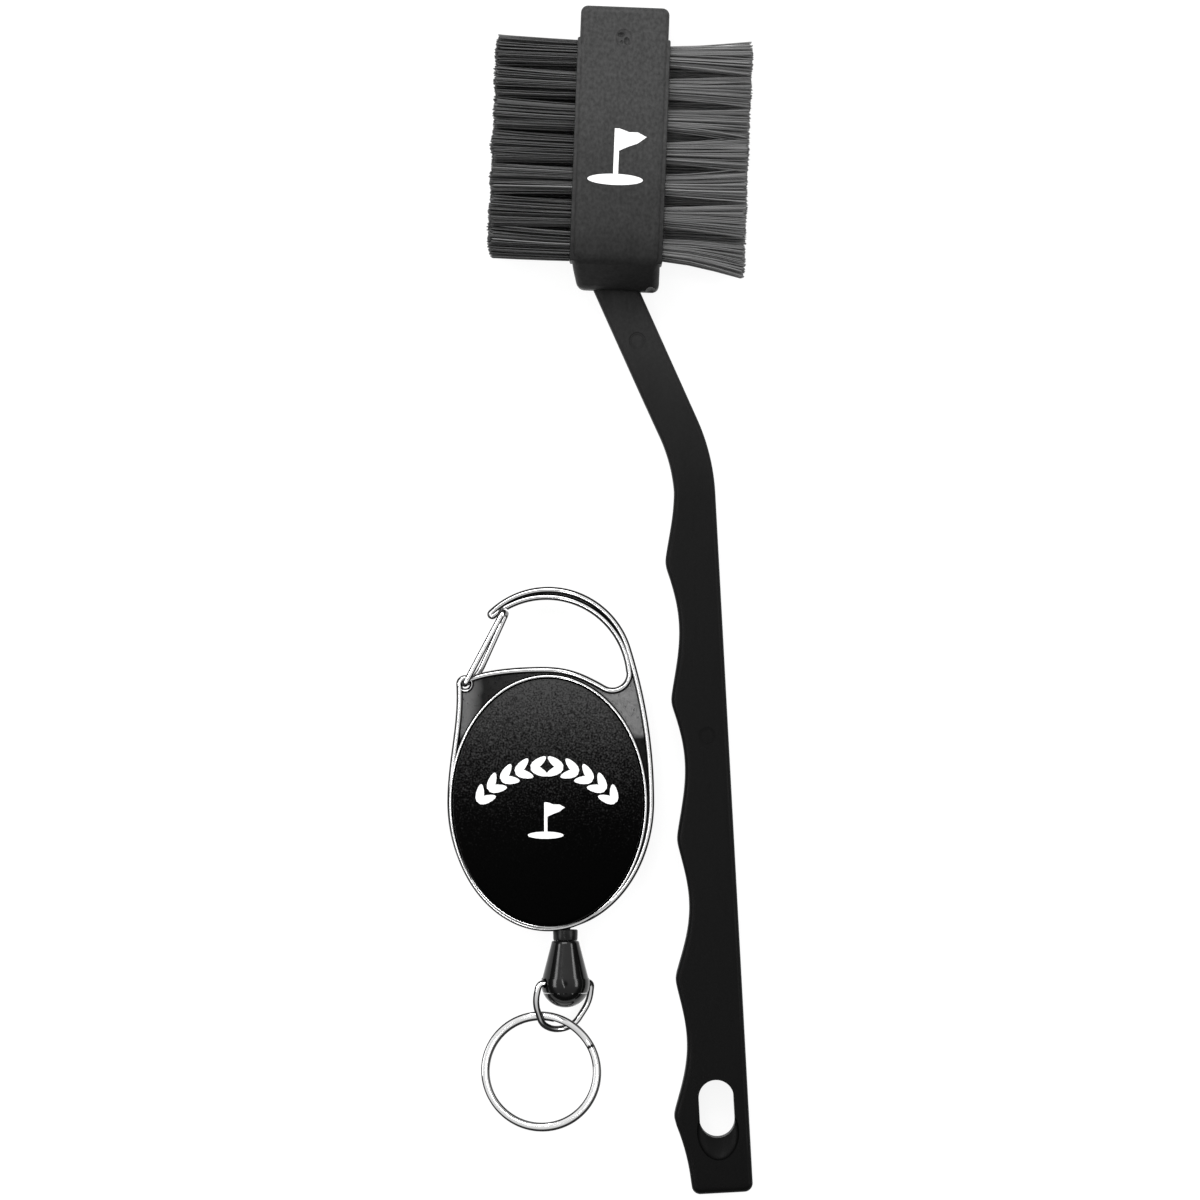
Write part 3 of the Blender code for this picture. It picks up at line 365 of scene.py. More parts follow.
field = (2 * (3 * TUFT_PITCH + AROUND_HOLES), 2 * (ROW_PITCH + AROUND_HOLES))
bpy.ops.mesh.primitive_cube_add(
    size=1,
    location=(0, FIELD_MIDDLE, HEAD_SIZE.z / 2),
    scale=(HEAD_SIZE.x + 2 * PAD, *field),
)
pads = bpy.context.object
bpy.ops.object.transform_apply(location=True, rotation=False, scale=True)
bpy.ops.object.mode_set(mode="EDIT")
bpy.ops.mesh.bevel(offset=PAD_EDGE, segments=3, affect="EDGES")
bpy.ops.object.mode_set(mode="OBJECT")
pads.data.transform(HEAD)
joined(moulding, pads, "UNION")


def gathered(name, pieces):
    """The pieces joined into one object."""
    alone(pieces[0])
    for piece in pieces:
        piece.select_set(True)
    bpy.ops.object.join()
    pieces[0].name = pieces[0].data.name = name
    return pieces[0]


def cylinder(radius, length, place, sides=40):
    """A plain cylinder, for holes and pins."""
    bpy.ops.object.select_all(action="DESELECT")
    bpy.ops.mesh.primitive_cylinder_add(vertices=sides, radius=radius, depth=length)
    bpy.context.object.data.transform(place)
    return bpy.context.object


def tuft_places():
    """(y, z) of each tuft in the head's own frame: rows of seven, six and seven."""
    places = []
    for row, count in enumerate((7, 6, 7)):
        for i in range(count):
            along = FIELD_MIDDLE + (i - (count - 1) / 2) * TUFT_PITCH
            places.append((along, HEAD_SIZE.z / 2 + (row - 1) * ROW_PITCH))
    return places


reach = HEAD_SIZE.x / 2 + PAD
crosswise = Matrix.Rotation(math.pi / 2, 4, "Y")  # lays an upright cylinder across
for side in (-1, 1):
    drills = []
    for along, height in tuft_places():
        place = Matrix.Translation((side * reach, along, height)) @ crosswise
        drills.append(cylinder(HOLE_RADIUS, 2 * HOLE_DEPTH, place, 16))
    drill = gathered("drill", drills)
    drill.data.transform(HEAD)
    joined(moulding, drill)

SLOT_WIDTH = 6.5 * MM
SLOT_LENGTH = 10.8 * MM
slot_at = BACK_CORNER + up * 15.6 * MM + left * 5.9 * MM  # its middle, from the tail's back corner
slot_outline = []
for end in (1, -1):
    for i in range(25):
        turn = math.pi * i / 24
        away = (SLOT_LENGTH - SLOT_WIDTH) / 2 + SLOT_WIDTH / 2 * math.sin(turn)
        aside = SLOT_WIDTH / 2 * math.cos(turn)
        slot_outline.append(slot_at + up * end * away - left * end * aside)
joined(moulding, plate("slot", [slot_outline], -1 * MM, HANDLE_FACE + 1 * MM))

DISHES = (  # place; radii across, along and deep: slot's relief, gate vestige and pits, sink mark
    (slot_at - up * 4.2 * MM + Vector((0, 0, HANDLE_FACE)), (3.9, 5.3, 1.45)),
    (Vector((4.4, 103.6, 16.3)) * MM, (1.7, 1.9, 0.75)),
    (Vector((3.9, 104.2, 16.0)) * MM, (0.7, 0.5, 0.9)),
    (Vector((4.9, 103.1, 16.0)) * MM, (0.6, 0.8, 0.9)),
    (Vector((4.0, 102.9, 16.0)) * MM, (0.4, 0.4, 0.7)),
    (Vector((9.4 * MM, 56.6 * MM, HEAD_SIZE.z - SLOPE_DROP)), (1.2, 1.5, 6.0)),
)
for place, radii in DISHES:
    bpy.ops.mesh.primitive_uv_sphere_add(segments=48, ring_count=24, radius=1)
    dish = bpy.context.object
    dish.data.transform(
        Matrix.Translation(place)
        @ Matrix.Rotation(LEAN, 4, "Z")
        @ Matrix.Diagonal((*(Vector(radii) * MM), 1))
    )
    joined(moulding, dish)
EJECTOR_PLACES = ((6.9 * MM, 48.3 * MM, HANDLE_FACE), (19.8 * MM, -24.7 * MM, HANDLE_FACE))
EJECTOR_STEPS = ((1.55 * MM, 0.2 * MM), (1.2 * MM, 0.32 * MM))  # radius, depth
for place in EJECTOR_PLACES:
    for radius, sunk in EJECTOR_STEPS:
        joined(moulding, cylinder(radius, 2 * sunk, Matrix.Translation(place)))
smoothed(moulding)


def noise(look, scale, detail=3.0, stretch=(1, 1, 1)):
    """Noise on the piece's own coordinates, in features to a metre; returns its factor socket."""
    tree = look.node_tree
    where = tree.nodes.new("ShaderNodeTexCoord")
    shape = tree.nodes.new("ShaderNodeMapping")
    shape.inputs["Scale"].default_value = stretch
    made = tree.nodes.new("ShaderNodeTexNoise")
    made.inputs["Scale"].default_value = scale
    made.inputs["Detail"].default_value = detail
    tree.links.new(where.outputs["Object"], shape.inputs["Vector"])
    tree.links.new(shape.outputs["Vector"], made.inputs["Vector"])
    return made.outputs["Fac"]


def share_along(look, axis, start, end, shift=None):
    """0 where the axis is at start, 1 where it is at end; a shift socket moves it to and fro."""
    tree = look.node_tree
    where = tree.nodes.new("ShaderNodeTexCoord")
    axes = tree.nodes.new("ShaderNodeSeparateXYZ")
    made = tree.nodes.new("ShaderNodeMapRange")
    made.inputs["From Min"].default_value = start
    made.inputs["From Max"].default_value = end
    tree.links.new(where.outputs["Object"], axes.inputs["Vector"])
    place = axes.outputs[axis]
    if shift:
        place = reckoned(look, "ADD", shift, place)
    tree.links.new(place, made.inputs["Value"])
    return made.outputs["Result"]


def reckoned(look, operation, *terms):
    """A sum on numbers and sockets; returns its result."""
    made = look.node_tree.nodes.new("ShaderNodeMath")
    made.operation = operation
    for socket, term in zip(made.inputs, terms):
        if isinstance(term, (int, float)):
            socket.default_value = term
        else:
            look.node_tree.links.new(term, socket)
    return made.outputs[0]


def fed(look, output, socket):
    """Feeds the shader's socket from this output."""
    look.node_tree.links.new(output, look.node_tree.nodes["Principled BSDF"].inputs[socket])


def ramp(look, factor, stops, socket=None):
    """Turns the factor into grey levels by (position, level) stops, and feeds them to a socket."""
    tree = look.node_tree
    made = graded(tree, stops)
    tree.links.new(factor, made.inputs["Fac"])
    if socket:
        fed(look, made.outputs["Color"], socket)
    return made.outputs["Color"]


def bump(look, height, strength, distance):
    """Raises the surface by a height socket, on top of any bump that is there already."""
    tree = look.node_tree
    normal = tree.nodes["Principled BSDF"].inputs["Normal"]
    before = normal.links[0].from_socket if normal.is_linked else None
    made = tree.nodes.new("ShaderNodeBump")
    made.inputs["Strength"].default_value = strength
    made.inputs["Distance"].default_value = distance
    tree.links.new(height, made.inputs["Height"])
    if before:
        tree.links.new(before, made.inputs["Normal"])
    tree.links.new(made.outputs["Normal"], normal)


def gloss(look, stops, *grain):
    """Roughness that varies with noise of this grain: its scale, detail and stretch."""
    ramp(look, noise(look, *grain), stops, "Roughness")


def relief(look, strength, distance, *grain):
    """A bump of this grain."""
    bump(look, noise(look, *grain), strength, distance)


HANDLE_PAINTED_LIGHT = (  # share of the length, tone: painted light, the grip painted darker towards the tail and the head lighter, as if lit from beyond the head
    (0.0, 0.0012), (0.43, 0.0034), (0.61, 0.005), (0.70, 0.010),  # grip
    (0.745, 0.016), (0.765, 0.014), (0.785, 0.009), (0.81, 0.012),  # neck and slope
    (0.843, 0.023), (0.94, 0.040), (1.0, 0.042),  # head
)
HALF_LENGTH = 110 * MM
moulded_black = finish("moulded_black", (0.02, 0.02, 0.02), 0.5, specular=0.06)
along = share_along(moulded_black, "Y", -HALF_LENGTH, HALF_LENGTH)
cloud = noise(moulded_black, 260, 4, (1, 0.35, 1))
clouded = reckoned(moulded_black, "MULTIPLY_ADD", cloud, 0.05, along)
# Painted light gradient along the length, its edges wobbled a little by noise.
tone = ramp(moulded_black, clouded, HANDLE_PAINTED_LIGHT)
depth = ramp(moulded_black, along, ((0.68, 0.25), (0.8, 1.0)))  # the head's mottle is the deeper
speck = reckoned(moulded_black, "SUBTRACT", noise(moulded_black, 1700, 5, (1, 0.75, 1)), 0.5)
speck = reckoned(moulded_black, "MULTIPLY", speck, depth)
mottle = reckoned(moulded_black, "MULTIPLY_ADD", speck, 1.3, 1.0)
fed(moulded_black, reckoned(moulded_black, "MULTIPLY", tone, mottle), "Base Color")
gloss(moulded_black, ((0.3, 0.38), (0.7, 0.55)), 900, 4, (1, 0.15, 1))
relief(moulded_black, 0.5, 0.05 * MM, 3000, 3)
relief(moulded_black, 0.4, 0.05 * MM, 600, 3, (1, 0.12, 1))


def dressed(piece, look):
    """Gives the piece this one material."""
    piece.data.materials.clear()
    piece.data.materials.append(look)


dressed(moulding, moulded_black)
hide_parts("brush_handle")
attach(moulding, "brush")

# ---------------- bristles
# Each tuft is a bundle of round nylon filament, folded over a staple in its own hole and trimmed:
# stiff black on the left, finer dark grey on the right, where the tufts flare and part at the root.
# Each column: side, filaments to a tuft, filament radius, tuft radius at root and tip, wander,
# dome of the trimmed end, splay of the tufts nearest the neck.
TUFT_SIDES = {
    "black": (-1, 112, 0.155 * MM, 2.5 * MM, 2.9 * MM, 0.13 * MM, 0.75 * MM, 0.5 * MM),
    "grey": (1, 110, 0.14 * MM, 1.9 * MM, 2.95 * MM, 0.30 * MM, 0.35 * MM, -1.6 * MM),
}
TRIMMED = 15.9 * MM  # how far the tips stand out of the head
STAPLE_GAP = 0.6 * MM  # between the filaments' roots and the floor of the hole
GRIPPED = 6.0 * MM  # from the root, straight; past it the filaments spread
NEAR_NECK = -17 * MM
BETWEEN_ROWS = 2.3 * MM  # a tuft spreads no more than this in height
GOLDEN = math.pi * (3 - math.sqrt(5))


def ring_stack(name, rings, sides):
    """A circle drawn out ring by ring; each ring is (half width, half length, height)."""
    bpy.ops.object.select_all(action="DESELECT")
    bpy.ops.mesh.primitive_circle_add(vertices=sides, radius=1, fill_type="NGON")
    piece = bpy.context.object
    piece.name = piece.data.name = name
    bpy.ops.object.mode_set(mode="EDIT")
    wide, long, height = rings[0]
    bpy.ops.transform.resize(value=(wide, long, 1), center_override=(0, 0, 0))
    bpy.ops.transform.translate(value=(0, 0, height))
    for next_wide, next_long, next_height in rings[1:]:
        rise = {"value": (0, 0, next_height - height)}
        bpy.ops.mesh.extrude_region_move(TRANSFORM_OT_translate=rise)
        growth = (next_wide / wide, next_long / long, 1)
        bpy.ops.transform.resize(value=growth, center_override=(0, 0, next_height))
        wide, long, height = next_wide, next_long, next_height
    bpy.ops.object.mode_set(mode="OBJECT")
    return faced_out(piece)


strand_rings = [(1, 1, z) for z in (0, 0.25, 0.5, 0.75, 0.985)] + [(0.6, 0.6, 1)]
filament = ring_stack("filament", strand_rings, 5)
strand_points = np.array([v.co for v in filament.data.vertices])
share = strand_points[:, 2]
strand_faces = [list(f.vertices) for f in filament.data.polygons]
bpy.data.objects.remove(filament)

black_bristle = finish("black_bristle", (0.01, 0.01, 0.01), 0.32, specular=0.5)
grey_bristle = finish("grey_bristle", (0.08, 0.08, 0.08), 0.42, specular=0.4)
# Each strand has its own random tone; the palest black strands are partly painted glints.
for look, stops in (
    (black_bristle, ((0.0, 0.007), (0.5, 0.014), (0.75, 0.05), (1.0, 0.22))),
    (grey_bristle, ((0.0, 0.06), (0.5, 0.11), (0.85, 0.18), (1.0, 0.36))),
):
    tone = look.node_tree.nodes.new("ShaderNodeAttribute")
    tone.attribute_name = "strand"
    ramp(look, tone.outputs["Fac"], stops, "Base Color")
    gloss(look, ((0.3, 0.28), (0.7, 0.5)), 1500, 2)
bristle_looks = {"black": black_bristle, "grey": grey_bristle}

chance = random.Random(12)
for colour, (side, count, radius, root, tip, wander, dome, splay) in TUFT_SIDES.items():
    foot = HEAD_SIZE.x / 2 + PAD - HOLE_DEPTH + STAPLE_GAP
    reach = HEAD_SIZE.x / 2 + TRIMMED - foot
    tip_back = min(tip, BETWEEN_ROWS)
    for number, (along, height) in enumerate(tuft_places(), 1):
        points, tones = [], []
        lean = splay if along < NEAR_NECK else 0
        lean += chance.uniform(-0.35, 0.35) * MM
        trim = chance.uniform(-0.25, 0.1) * MM
        for i in range(count):
            spread = math.sqrt((i + 0.5) / count)
            turn = GOLDEN * i + chance.uniform(-0.3, 0.3)
            across = Vector((math.cos(turn), math.sin(turn))) * spread
            full = reach + trim - dome * spread**2 - chance.random() * 0.5 * MM
            sway = Vector((chance.gauss(0, wander), chance.gauss(0, wander)))
            girth = radius * chance.uniform(0.85, 1.1)
            out = np.clip((share * full - GRIPPED) / (full - GRIPPED), 0, 1)
            path = np.zeros((len(strand_points), 3))
            path[:, 0] = side * (foot + share * full)
            path[:, 1] = along + across.x * (root + (tip - root) * out)
            path[:, 1] += (sway.x + lean) * out**1.5 + strand_points[:, 0] * girth
            path[:, 2] = height + across.y * (root + (tip_back - root) * out)
            path[:, 2] += 0.6 * sway.y * out**1.5 + strand_points[:, 1] * girth * side
            points.append(path)
            tones.append(chance.betavariate(2.2, 3.2))
        piece_name = f"{colour}_bristles_{number:02d}"
        mesh = bpy.data.meshes.new(piece_name)
        faces = []
        for i in range(count):
            faces += [[v + i * len(strand_points) for v in face] for face in strand_faces]
        mesh.from_pydata(np.concatenate(points).tolist(), [], faces)
        mesh.transform(HEAD)
        strand = mesh.attributes.new("strand", "FLOAT", "POINT")
        strand.data.foreach_set("value", np.repeat(tones, len(strand_points)))
        mesh.materials.append(bristle_looks[colour])
        mesh.shade_smooth()
        tuft = bpy.data.objects.new(piece_name, mesh)
        scene.collection.objects.link(tuft)
        alone(tuft)
        bpy.ops.object.shade_smooth_by_angle(angle=math.radians(75))
        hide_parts(f"{colour}_tuft_{number:02d}")
        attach(tuft, "brush")

# ---------------- carabiner casting
# Zinc die casting, bright chrome plated: a bead runs round its outline and up both edges of the
# hook, a thinner one rings the case, and between them lies a sunken satin web.
REEL = Vector((-9.11, -37.02, 0)) * MM
MID = 4.9 * MM
HALF_THICK = 1.8 * MM
BODY_A = 19.15 * MM
BODY_B = 23.7 * MM
HOOK = Vector((-0.45, 23.86, 0)) * MM
HOOK_RADIUS = 15.95 * MM
INNER = Vector((-0.8, 22.55, 0)) * MM
INNER_RADIUS = 14.8 * MM
BOSS = Vector((-15.85, 21.8, 0)) * MM
BOSS_RADIUS = 1.65 * MM
SADDLE = Vector((-1.5, 25.0, 0)) * MM
FILLET = 2.6 * MM
FILLET_UP = 1.2 * MM
CASE_AT = Vector((-0.5, -0.15, 0)) * MM
CASE_A = 17.6 * MM
CASE_B = 22.9 * MM
BEAD = 1.2 * MM
BEZEL = 0.9 * MM
BEZEL_DEPTH = 3.7 * MM
SUNK = 0.7 * MM
UNDER_COVER = 2 * MM  # how far the web reaches in under the covers
CORD_ASIDE = 2.7 * MM  # the cord leaves this far to the right of the reel's middle
LEAST_DRILL = 9 * MM  # a drill this long passes through the casting or its lower rim
SHOULDER_AT = 17  # degrees round the hook where it runs into the body


def arc(centre, radius_x, radius_y, start, end, steps):
    """Points along an elliptic arc; start and end in degrees."""
    points = []
    for i in range(steps + 1):
        turn = math.radians(start + (end - start) * i / steps)
        points.append(centre + Vector((radius_x * math.cos(turn), radius_y * math.sin(turn), 0)))
    return points


def bezier(first, first_handle, last_handle, last, steps):
    """Points along a curve with these two ends and handles."""
    return [Vector(p) for p in interpolate_bezier(first, first_handle, last_handle, last, steps)]


def casting_outline(inset):
    """The casting's closed outline, drawn in by the inset, clockwise from the hook's nose."""
    hook = arc(HOOK, HOOK_RADIUS - inset, HOOK_RADIUS - inset, 133.5, SHOULDER_AT, 72)
    shoulder = math.radians(SHOULDER_AT)
    onward = Vector((math.sin(shoulder), -math.cos(shoulder), 0))
    low = Vector((BODY_A - inset, 0, 0))
    pull = 0.35 * hook[-1].y
    right = bezier(hook[-1], hook[-1] + onward * pull, low + Vector((0, pull, 0)), low, 24)
    lower = arc(Vector((0, 0, 0)), BODY_A - inset, BODY_B - inset, 0, -180, 120)
    high = Vector((BOSS.x - BOSS_RADIUS + inset, BOSS.y, 0))
    pull = 0.35 * high.y
    below = high + Vector((0.06 * pull, -pull, 0))
    climb = bezier(lower[-1], lower[-1] + Vector((0, pull, 0)), below, high, 20)
    boss = arc(BOSS, BOSS_RADIUS - inset, BOSS_RADIUS - inset, 172, 75, 10)
    start = BOSS + Vector((0.55 * BOSS_RADIUS, 0.82 * BOSS_RADIUS - inset, 0))
    crown = SADDLE - Vector((0, inset, 0))
    fillet_at = INNER + Vector((INNER_RADIUS - FILLET, FILLET_UP, 0))
    fillet = arc(fillet_at, FILLET + inset, FILLET + inset, 240, 360, 24)
    into_rise = start + Vector((2.2, 1.1, 0)) * MM
    rise = bezier(start, into_rise, crown - Vector((6, 0, 0)) * MM, crown, 20)
    end_fall = fillet[0] + Vector((-4.2, 2.4, 0)) * MM
    fall = bezier(crown, crown + Vector((4.5, 0, 0)) * MM, end_fall, fillet[0], 24)
    from_fillet = math.degrees(math.asin(FILLET_UP / INNER_RADIUS)) + 1.5
    inner = arc(INNER, INNER_RADIUS + inset, INNER_RADIUS + inset, from_fillet, 129.5, 68)
    middle = inner[-1].lerp(hook[0], 0.5)
    half = inner[-1] - middle
    begin = math.degrees(math.atan2(half.y, half.x))
    nose = arc(middle, half.length, half.length, begin, begin - 180, 14)
    body = right[1:] + lower[1:] + climb[1:-1]
    saddle = boss + rise[1:] + fall[1:] + fillet[1:]
    return hook + body + saddle + inner + nose[1:-1]


def swept(name, path, section_line, closed):
    """This section carried along the path, its second axis kept upright."""
    section = drawn(f"{name}_section", [section_line], "2D")
    piece = drawn(name, [path], "3D", closed)
    piece.data.bevel_mode = "OBJECT"
    piece.data.bevel_object = section
    piece.data.twist_mode = "Z_UP"
    piece.data.use_fill_caps = not closed
    meshed(piece)
    bpy.data.objects.remove(section)
    return piece


def bead(name, path, width, height):
    """A closed bead with upright sides and a half-round crest on each face."""
    straight = Vector((0, (height - width) / 2, 0))
    section_line = arc(straight, width / 2, width / 2, 0, 180, 14)
    section_line += arc(-straight, width / 2, width / 2, 180, 360, 14)
    return swept(name, path, section_line, True)


rim = bead("rim", casting_outline(BEAD / 2), BEAD, 2 * HALF_THICK)
bezel_line = arc(CASE_AT, CASE_A + BEZEL / 2, CASE_B + BEZEL / 2, 0, 360, 160)[:-1]
bezel = bead("bezel", bezel_line, BEZEL, BEZEL_DEPTH)
WIRE = 0.55 * MM
NOSE_AT = math.radians(122.5)
nose_at = INNER + Vector((math.cos(NOSE_AT), math.sin(NOSE_AT), 0)) * (INNER_RADIUS + 0.1 * MM)
bar_at = nose_at - BOSS
beside = Vector((bar_at.y, -bar_at.x, 0)).normalized() * 1.3 * MM  # from the front leg to the rear
beside_nose = beside * 0.45  # the legs draw together at the nose
leg_z = HALF_THICK + 0.85 * MM
notch_turn = Matrix.Rotation(math.atan2(beside.y, beside.x), 4, "Z")
notch_turn @= Matrix.Rotation(-math.atan2(beside_nose.length, 2 * leg_z), 4, "Y")
lengthways = Matrix.Rotation(math.pi / 2, 4, "X")  # lays an upright cylinder along the cord
COLLAR_SEAT = 2.6 * MM
OUTLET = 1.25 * MM
PIN_HOLE = 0.85 * MM
cuts = (  # radius, length, place: the nose's notch, the cord's way out, the collar's seat
    (WIRE + 0.3 * MM, 9.8 * MM, Matrix.Translation(nose_at + beside_nose / 2) @ notch_turn),
    (OUTLET, LEAST_DRILL, Matrix.Translation((CORD_ASIDE, -22.5 * MM, 0)) @ lengthways),
    (COLLAR_SEAT, 2 * MM, Matrix.Translation((CORD_ASIDE, -24.35 * MM, 0)) @ lengthways),
)
case_hole = arc(CASE_AT, CASE_A - UNDER_COVER, CASE_B - UNDER_COVER, 0, 360, 160)[:-1]
web = plate("web", [casting_outline(BEAD / 2), case_hole], SUNK - HALF_THICK, HALF_THICK - SUNK)
joined(web, cylinder(PIN_HOLE, LEAST_DRILL, Matrix.Translation(BOSS)))
for piece in (rim, web):
    for radius, length, place in cuts:
        joined(piece, cylinder(radius, length, place))


def turned(name, profile, sides, place):
    """A round piece from its (radius, height) profile in millimetres, moved to its place."""
    piece = ring_stack(name, [(r * MM, r * MM, h * MM) for r, h in profile], sides)
    piece.data.transform(place)
    return piece


boss_rings = [(0.85, -1.35), (1.0, -1.7), (1.25, -1.8), (1.5, -1.7), (1.65, -1.4)]
boss_rings += [(r, -z) for r, z in reversed(boss_rings)]
boss = turned("boss", boss_rings, 40, Matrix.Translation(BOSS))
joined(boss, cylinder(PIN_HOLE, LEAST_DRILL, Matrix.Translation(BOSS)))


def mark_slope(piece):
    """Stores how squarely each point faces up or down, which sets the chrome's painted reflection
    bands.
    """
    slope = piece.data.attributes.new("slope", "FLOAT", "POINT")
    slope.data.foreach_set("value", [abs(n.vector.z) for n in piece.data.vertex_normals])


def chromed(name, roughness, painted_reflection):
    """Bright chrome with painted reflection: dark painted bands along each shoulder, set by the
    slope; the last argument lists (slope, tone).
    """
    look = finish(name, (0.80, 0.80, 0.81), roughness, metallic=1.0)
    shader = look.node_tree.nodes["Principled BSDF"]
    shader.inputs["Specular Tint"].default_value = (0.3, 0.3, 0.3, 1)
    slope = look.node_tree.nodes.new("ShaderNodeAttribute")
    slope.attribute_name = "slope"
    ramp(look, slope.outputs["Fac"], painted_reflection, "Base Color")
    return look


# Painted reflection by slope: mid-grey sides, dark shoulders, bright chrome only where the face
# looks straight up.
CAST_PAINTED_REFLECTION = ((0.0, 0.34), (0.42, 0.24), (0.58, 0.04), (0.90, 0.03), (0.96, 0.90))
chrome_casting = chromed("chrome_casting", 0.06, CAST_PAINTED_REFLECTION)
gloss(chrome_casting, ((0.35, 0.045), (0.75, 0.11)), 900, 3)
relief(chrome_casting, 0.25, 0.03 * MM, 260, 2)
satin_web = finish("satin_web", (0.30, 0.30, 0.31), 0.3, metallic=1.0)
SIDEWAYS = ((0.0, 0.12), (0.13, 0.14), (0.20, 0.015), (0.43, 0.03), (0.62, 0.10), (0.8, 0.2))
UPWARDS = ((0.0, 0.04), (0.59, 0.06), (0.63, 0.8), (1.0, 1.0))
WEB_PAINTED_REFLECTION = (  # axis, reach of the plate in millimetres, and its tone at shares of that reach: painted reflection, dark bands where the web would mirror dark parts of the room
    ("X", -27.5, 14.5, SIDEWAYS),
    ("Y", -42.5, -9.5, UPWARDS),
)
# Noise wobbles the edges of the painted reflection bands.
patchy = reckoned(satin_web, "MULTIPLY", noise(satin_web, 160, 2), 5 * MM)
web_painted_reflection = []
for axis, start, end, stops in WEB_PAINTED_REFLECTION:
    across = share_along(satin_web, axis, start * MM, end * MM, patchy)
    web_painted_reflection.append(ramp(satin_web, across, stops))
fed(satin_web, reckoned(satin_web, "MULTIPLY", *web_painted_reflection), "Base Color")
gloss(satin_web, ((0.3, 0.26), (0.7, 0.42)), 1400, 3)
relief(satin_web, 0.2, 0.02 * MM, 3000, 3)
for piece in (rim, bezel, boss):
    mark_slope(piece)
    dressed(piece, chrome_casting)
dressed(web, satin_web)
for piece in (rim, bezel, boss, web):
    smoothed(piece, 40)
casting = gathered("carabiner_casting", [rim, bezel, boss, web])
casting.data.transform(Matrix.Translation(REEL + Vector((0, 0, MID))))
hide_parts("carabiner_frame")
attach(casting, "reel_case")

# ---------------- gate wire
# One length of spring wire, chromed: pinned at both ends in the boss, a leg along each face of the
# hook and a short bar between them that snaps across the nose.


def rounded(path, radius, steps=8):
    """The path with each inner corner turned into a bend of about that radius."""
    points = [Vector(path[0])]
    for before, corner, after in zip(path, path[1:], path[2:]):
        into = before - corner
        onward = after - corner
        reach = min(radius, into.length / 2.05, onward.length / 2.05)
        first = corner + into.normalized() * reach
        last = corner + onward.normalized() * reach
        for i in range(steps + 1):
            share = i / steps
            points.append(first.lerp(corner, share).lerp(corner.lerp(last, share), share))
    return points + [Vector(path[-1])]


def wire(name, path, radius, resolution=4):
    """A round wire along the path, with closed ends; resolution sets the sides of its section."""
    piece = drawn(name, [path], "3D", False)
    piece.data.bevel_depth = radius
    piece.data.bevel_resolution = resolution
    piece.data.use_fill_caps = True
    return meshed(piece)


PIN_DEPTH = 0.7 * MM  # each end stops this far short of the boss's middle
front = Vector((0, 0, leg_z))
jog = bar_at.normalized() * 2.2 * MM
gate_path = rounded(
    [
        Vector((0, 0, PIN_DEPTH)),
        front,
        bar_at + front,
        bar_at + beside_nose - front,
        jog * 1.7 + beside - front,
        jog * 0.6 + beside * 0.7 - front,
        -front,
        Vector((0, 0, -PIN_DEPTH)),
    ],
    0.8 * MM,
)
gate = smoothed(wire("gate_spring", gate_path, WIRE), 50)
gate.data.transform(Matrix.Translation(REEL + BOSS + Vector((0, 0, MID))))
mark_slope(gate)
# Painted reflection by slope, as on the casting.
WIRE_PAINTED_REFLECTION = ((0.0, 0.34), (0.32, 0.24), (0.46, 0.04), (0.70, 0.03), (0.84, 0.88))
chrome_wire = chromed("chrome_wire", 0.06, WIRE_PAINTED_REFLECTION)
gloss(chrome_wire, ((0.35, 0.04), (0.75, 0.1)), 1200, 2)
relief(chrome_wire, 0.15, 0.02 * MM, 500, 2)
dressed(gate, chrome_wire)
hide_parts("gate_wire")
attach(gate, "gate")

# ---------------- case covers
# Two ABS shells close on the casting from front and back. Each face is slightly crowned and has a
# fine spark-eroded grain; the rear one carries the post that the spool turns on.
CASE_DEPTH = 9.8 * MM
FACE_EDGE = 0.9 * MM
FACE_FALL = 1.5 * MM  # how far the crown falls from its middle to its edge
FLANGE = 2.8 * MM
ROOF = 1.4 * MM
SPIGOT_A = CASE_A - 2.3 * MM  # the ring inside that locates in the casting
SPIGOT_B = CASE_B - 2.3 * MM
HALF_GAP = 0.15 * MM  # between the two shells' spigots
WALL = 1.3 * MM
POST_AT = Vector((-0.1, 1.55, 5.3)) * MM
POST_RADIUS = 2 * MM
POST_LENGTH = 6.9 * MM


def crown_height(share):
    """Height of the face this far out, as a share of the way to its edge."""
    return CASE_DEPTH - FACE_FALL * share**2


def shell_rings():
    """The front shell from the middle of its face, round its edge, and back up inside."""
    rings = []
    for i in range(1, 15):
        share = i / 14
        flat = share * (CASE_A - FACE_EDGE)
        rings.append((flat, share * (CASE_B - FACE_EDGE), crown_height(share)))
    for i in range(1, 9):
        turn = math.pi / 2 * i / 8
        out = FACE_EDGE * math.sin(turn)
        down = FACE_EDGE * (1 - math.cos(turn))
        rings.append((CASE_A - FACE_EDGE + out, CASE_B - FACE_EDGE + out, crown_height(1) - down))
    seat = CASE_DEPTH - FLANGE
    rings.append((CASE_A, CASE_B, seat + 0.2 * MM))
    rings.append((CASE_A - 0.2 * MM, CASE_B - 0.2 * MM, seat))
    rings.append((SPIGOT_A, SPIGOT_B, seat))
    rings.append((SPIGOT_A, SPIGOT_B, MID + HALF_GAP))
    rings.append((SPIGOT_A - WALL, SPIGOT_B - WALL, MID + HALF_GAP))
    rings.append((SPIGOT_A - WALL, SPIGOT_B - WALL, CASE_DEPTH - ROOF))
    return rings


cover_black = finish("cover_black", (0.005, 0.005, 0.005), 0.5, specular=0.012)
COVER_PAINTED_LIGHT = (  # share of the face from its foot to its head, tone: painted light, the face painted lighter towards its head
    (0.0, 0.0003), (0.45, 0.0006), (0.6, 0.0035),
    (0.75, 0.014), (0.93, 0.029), (1.0, 0.042),
)
face_middle = REEL.y + CASE_AT.y
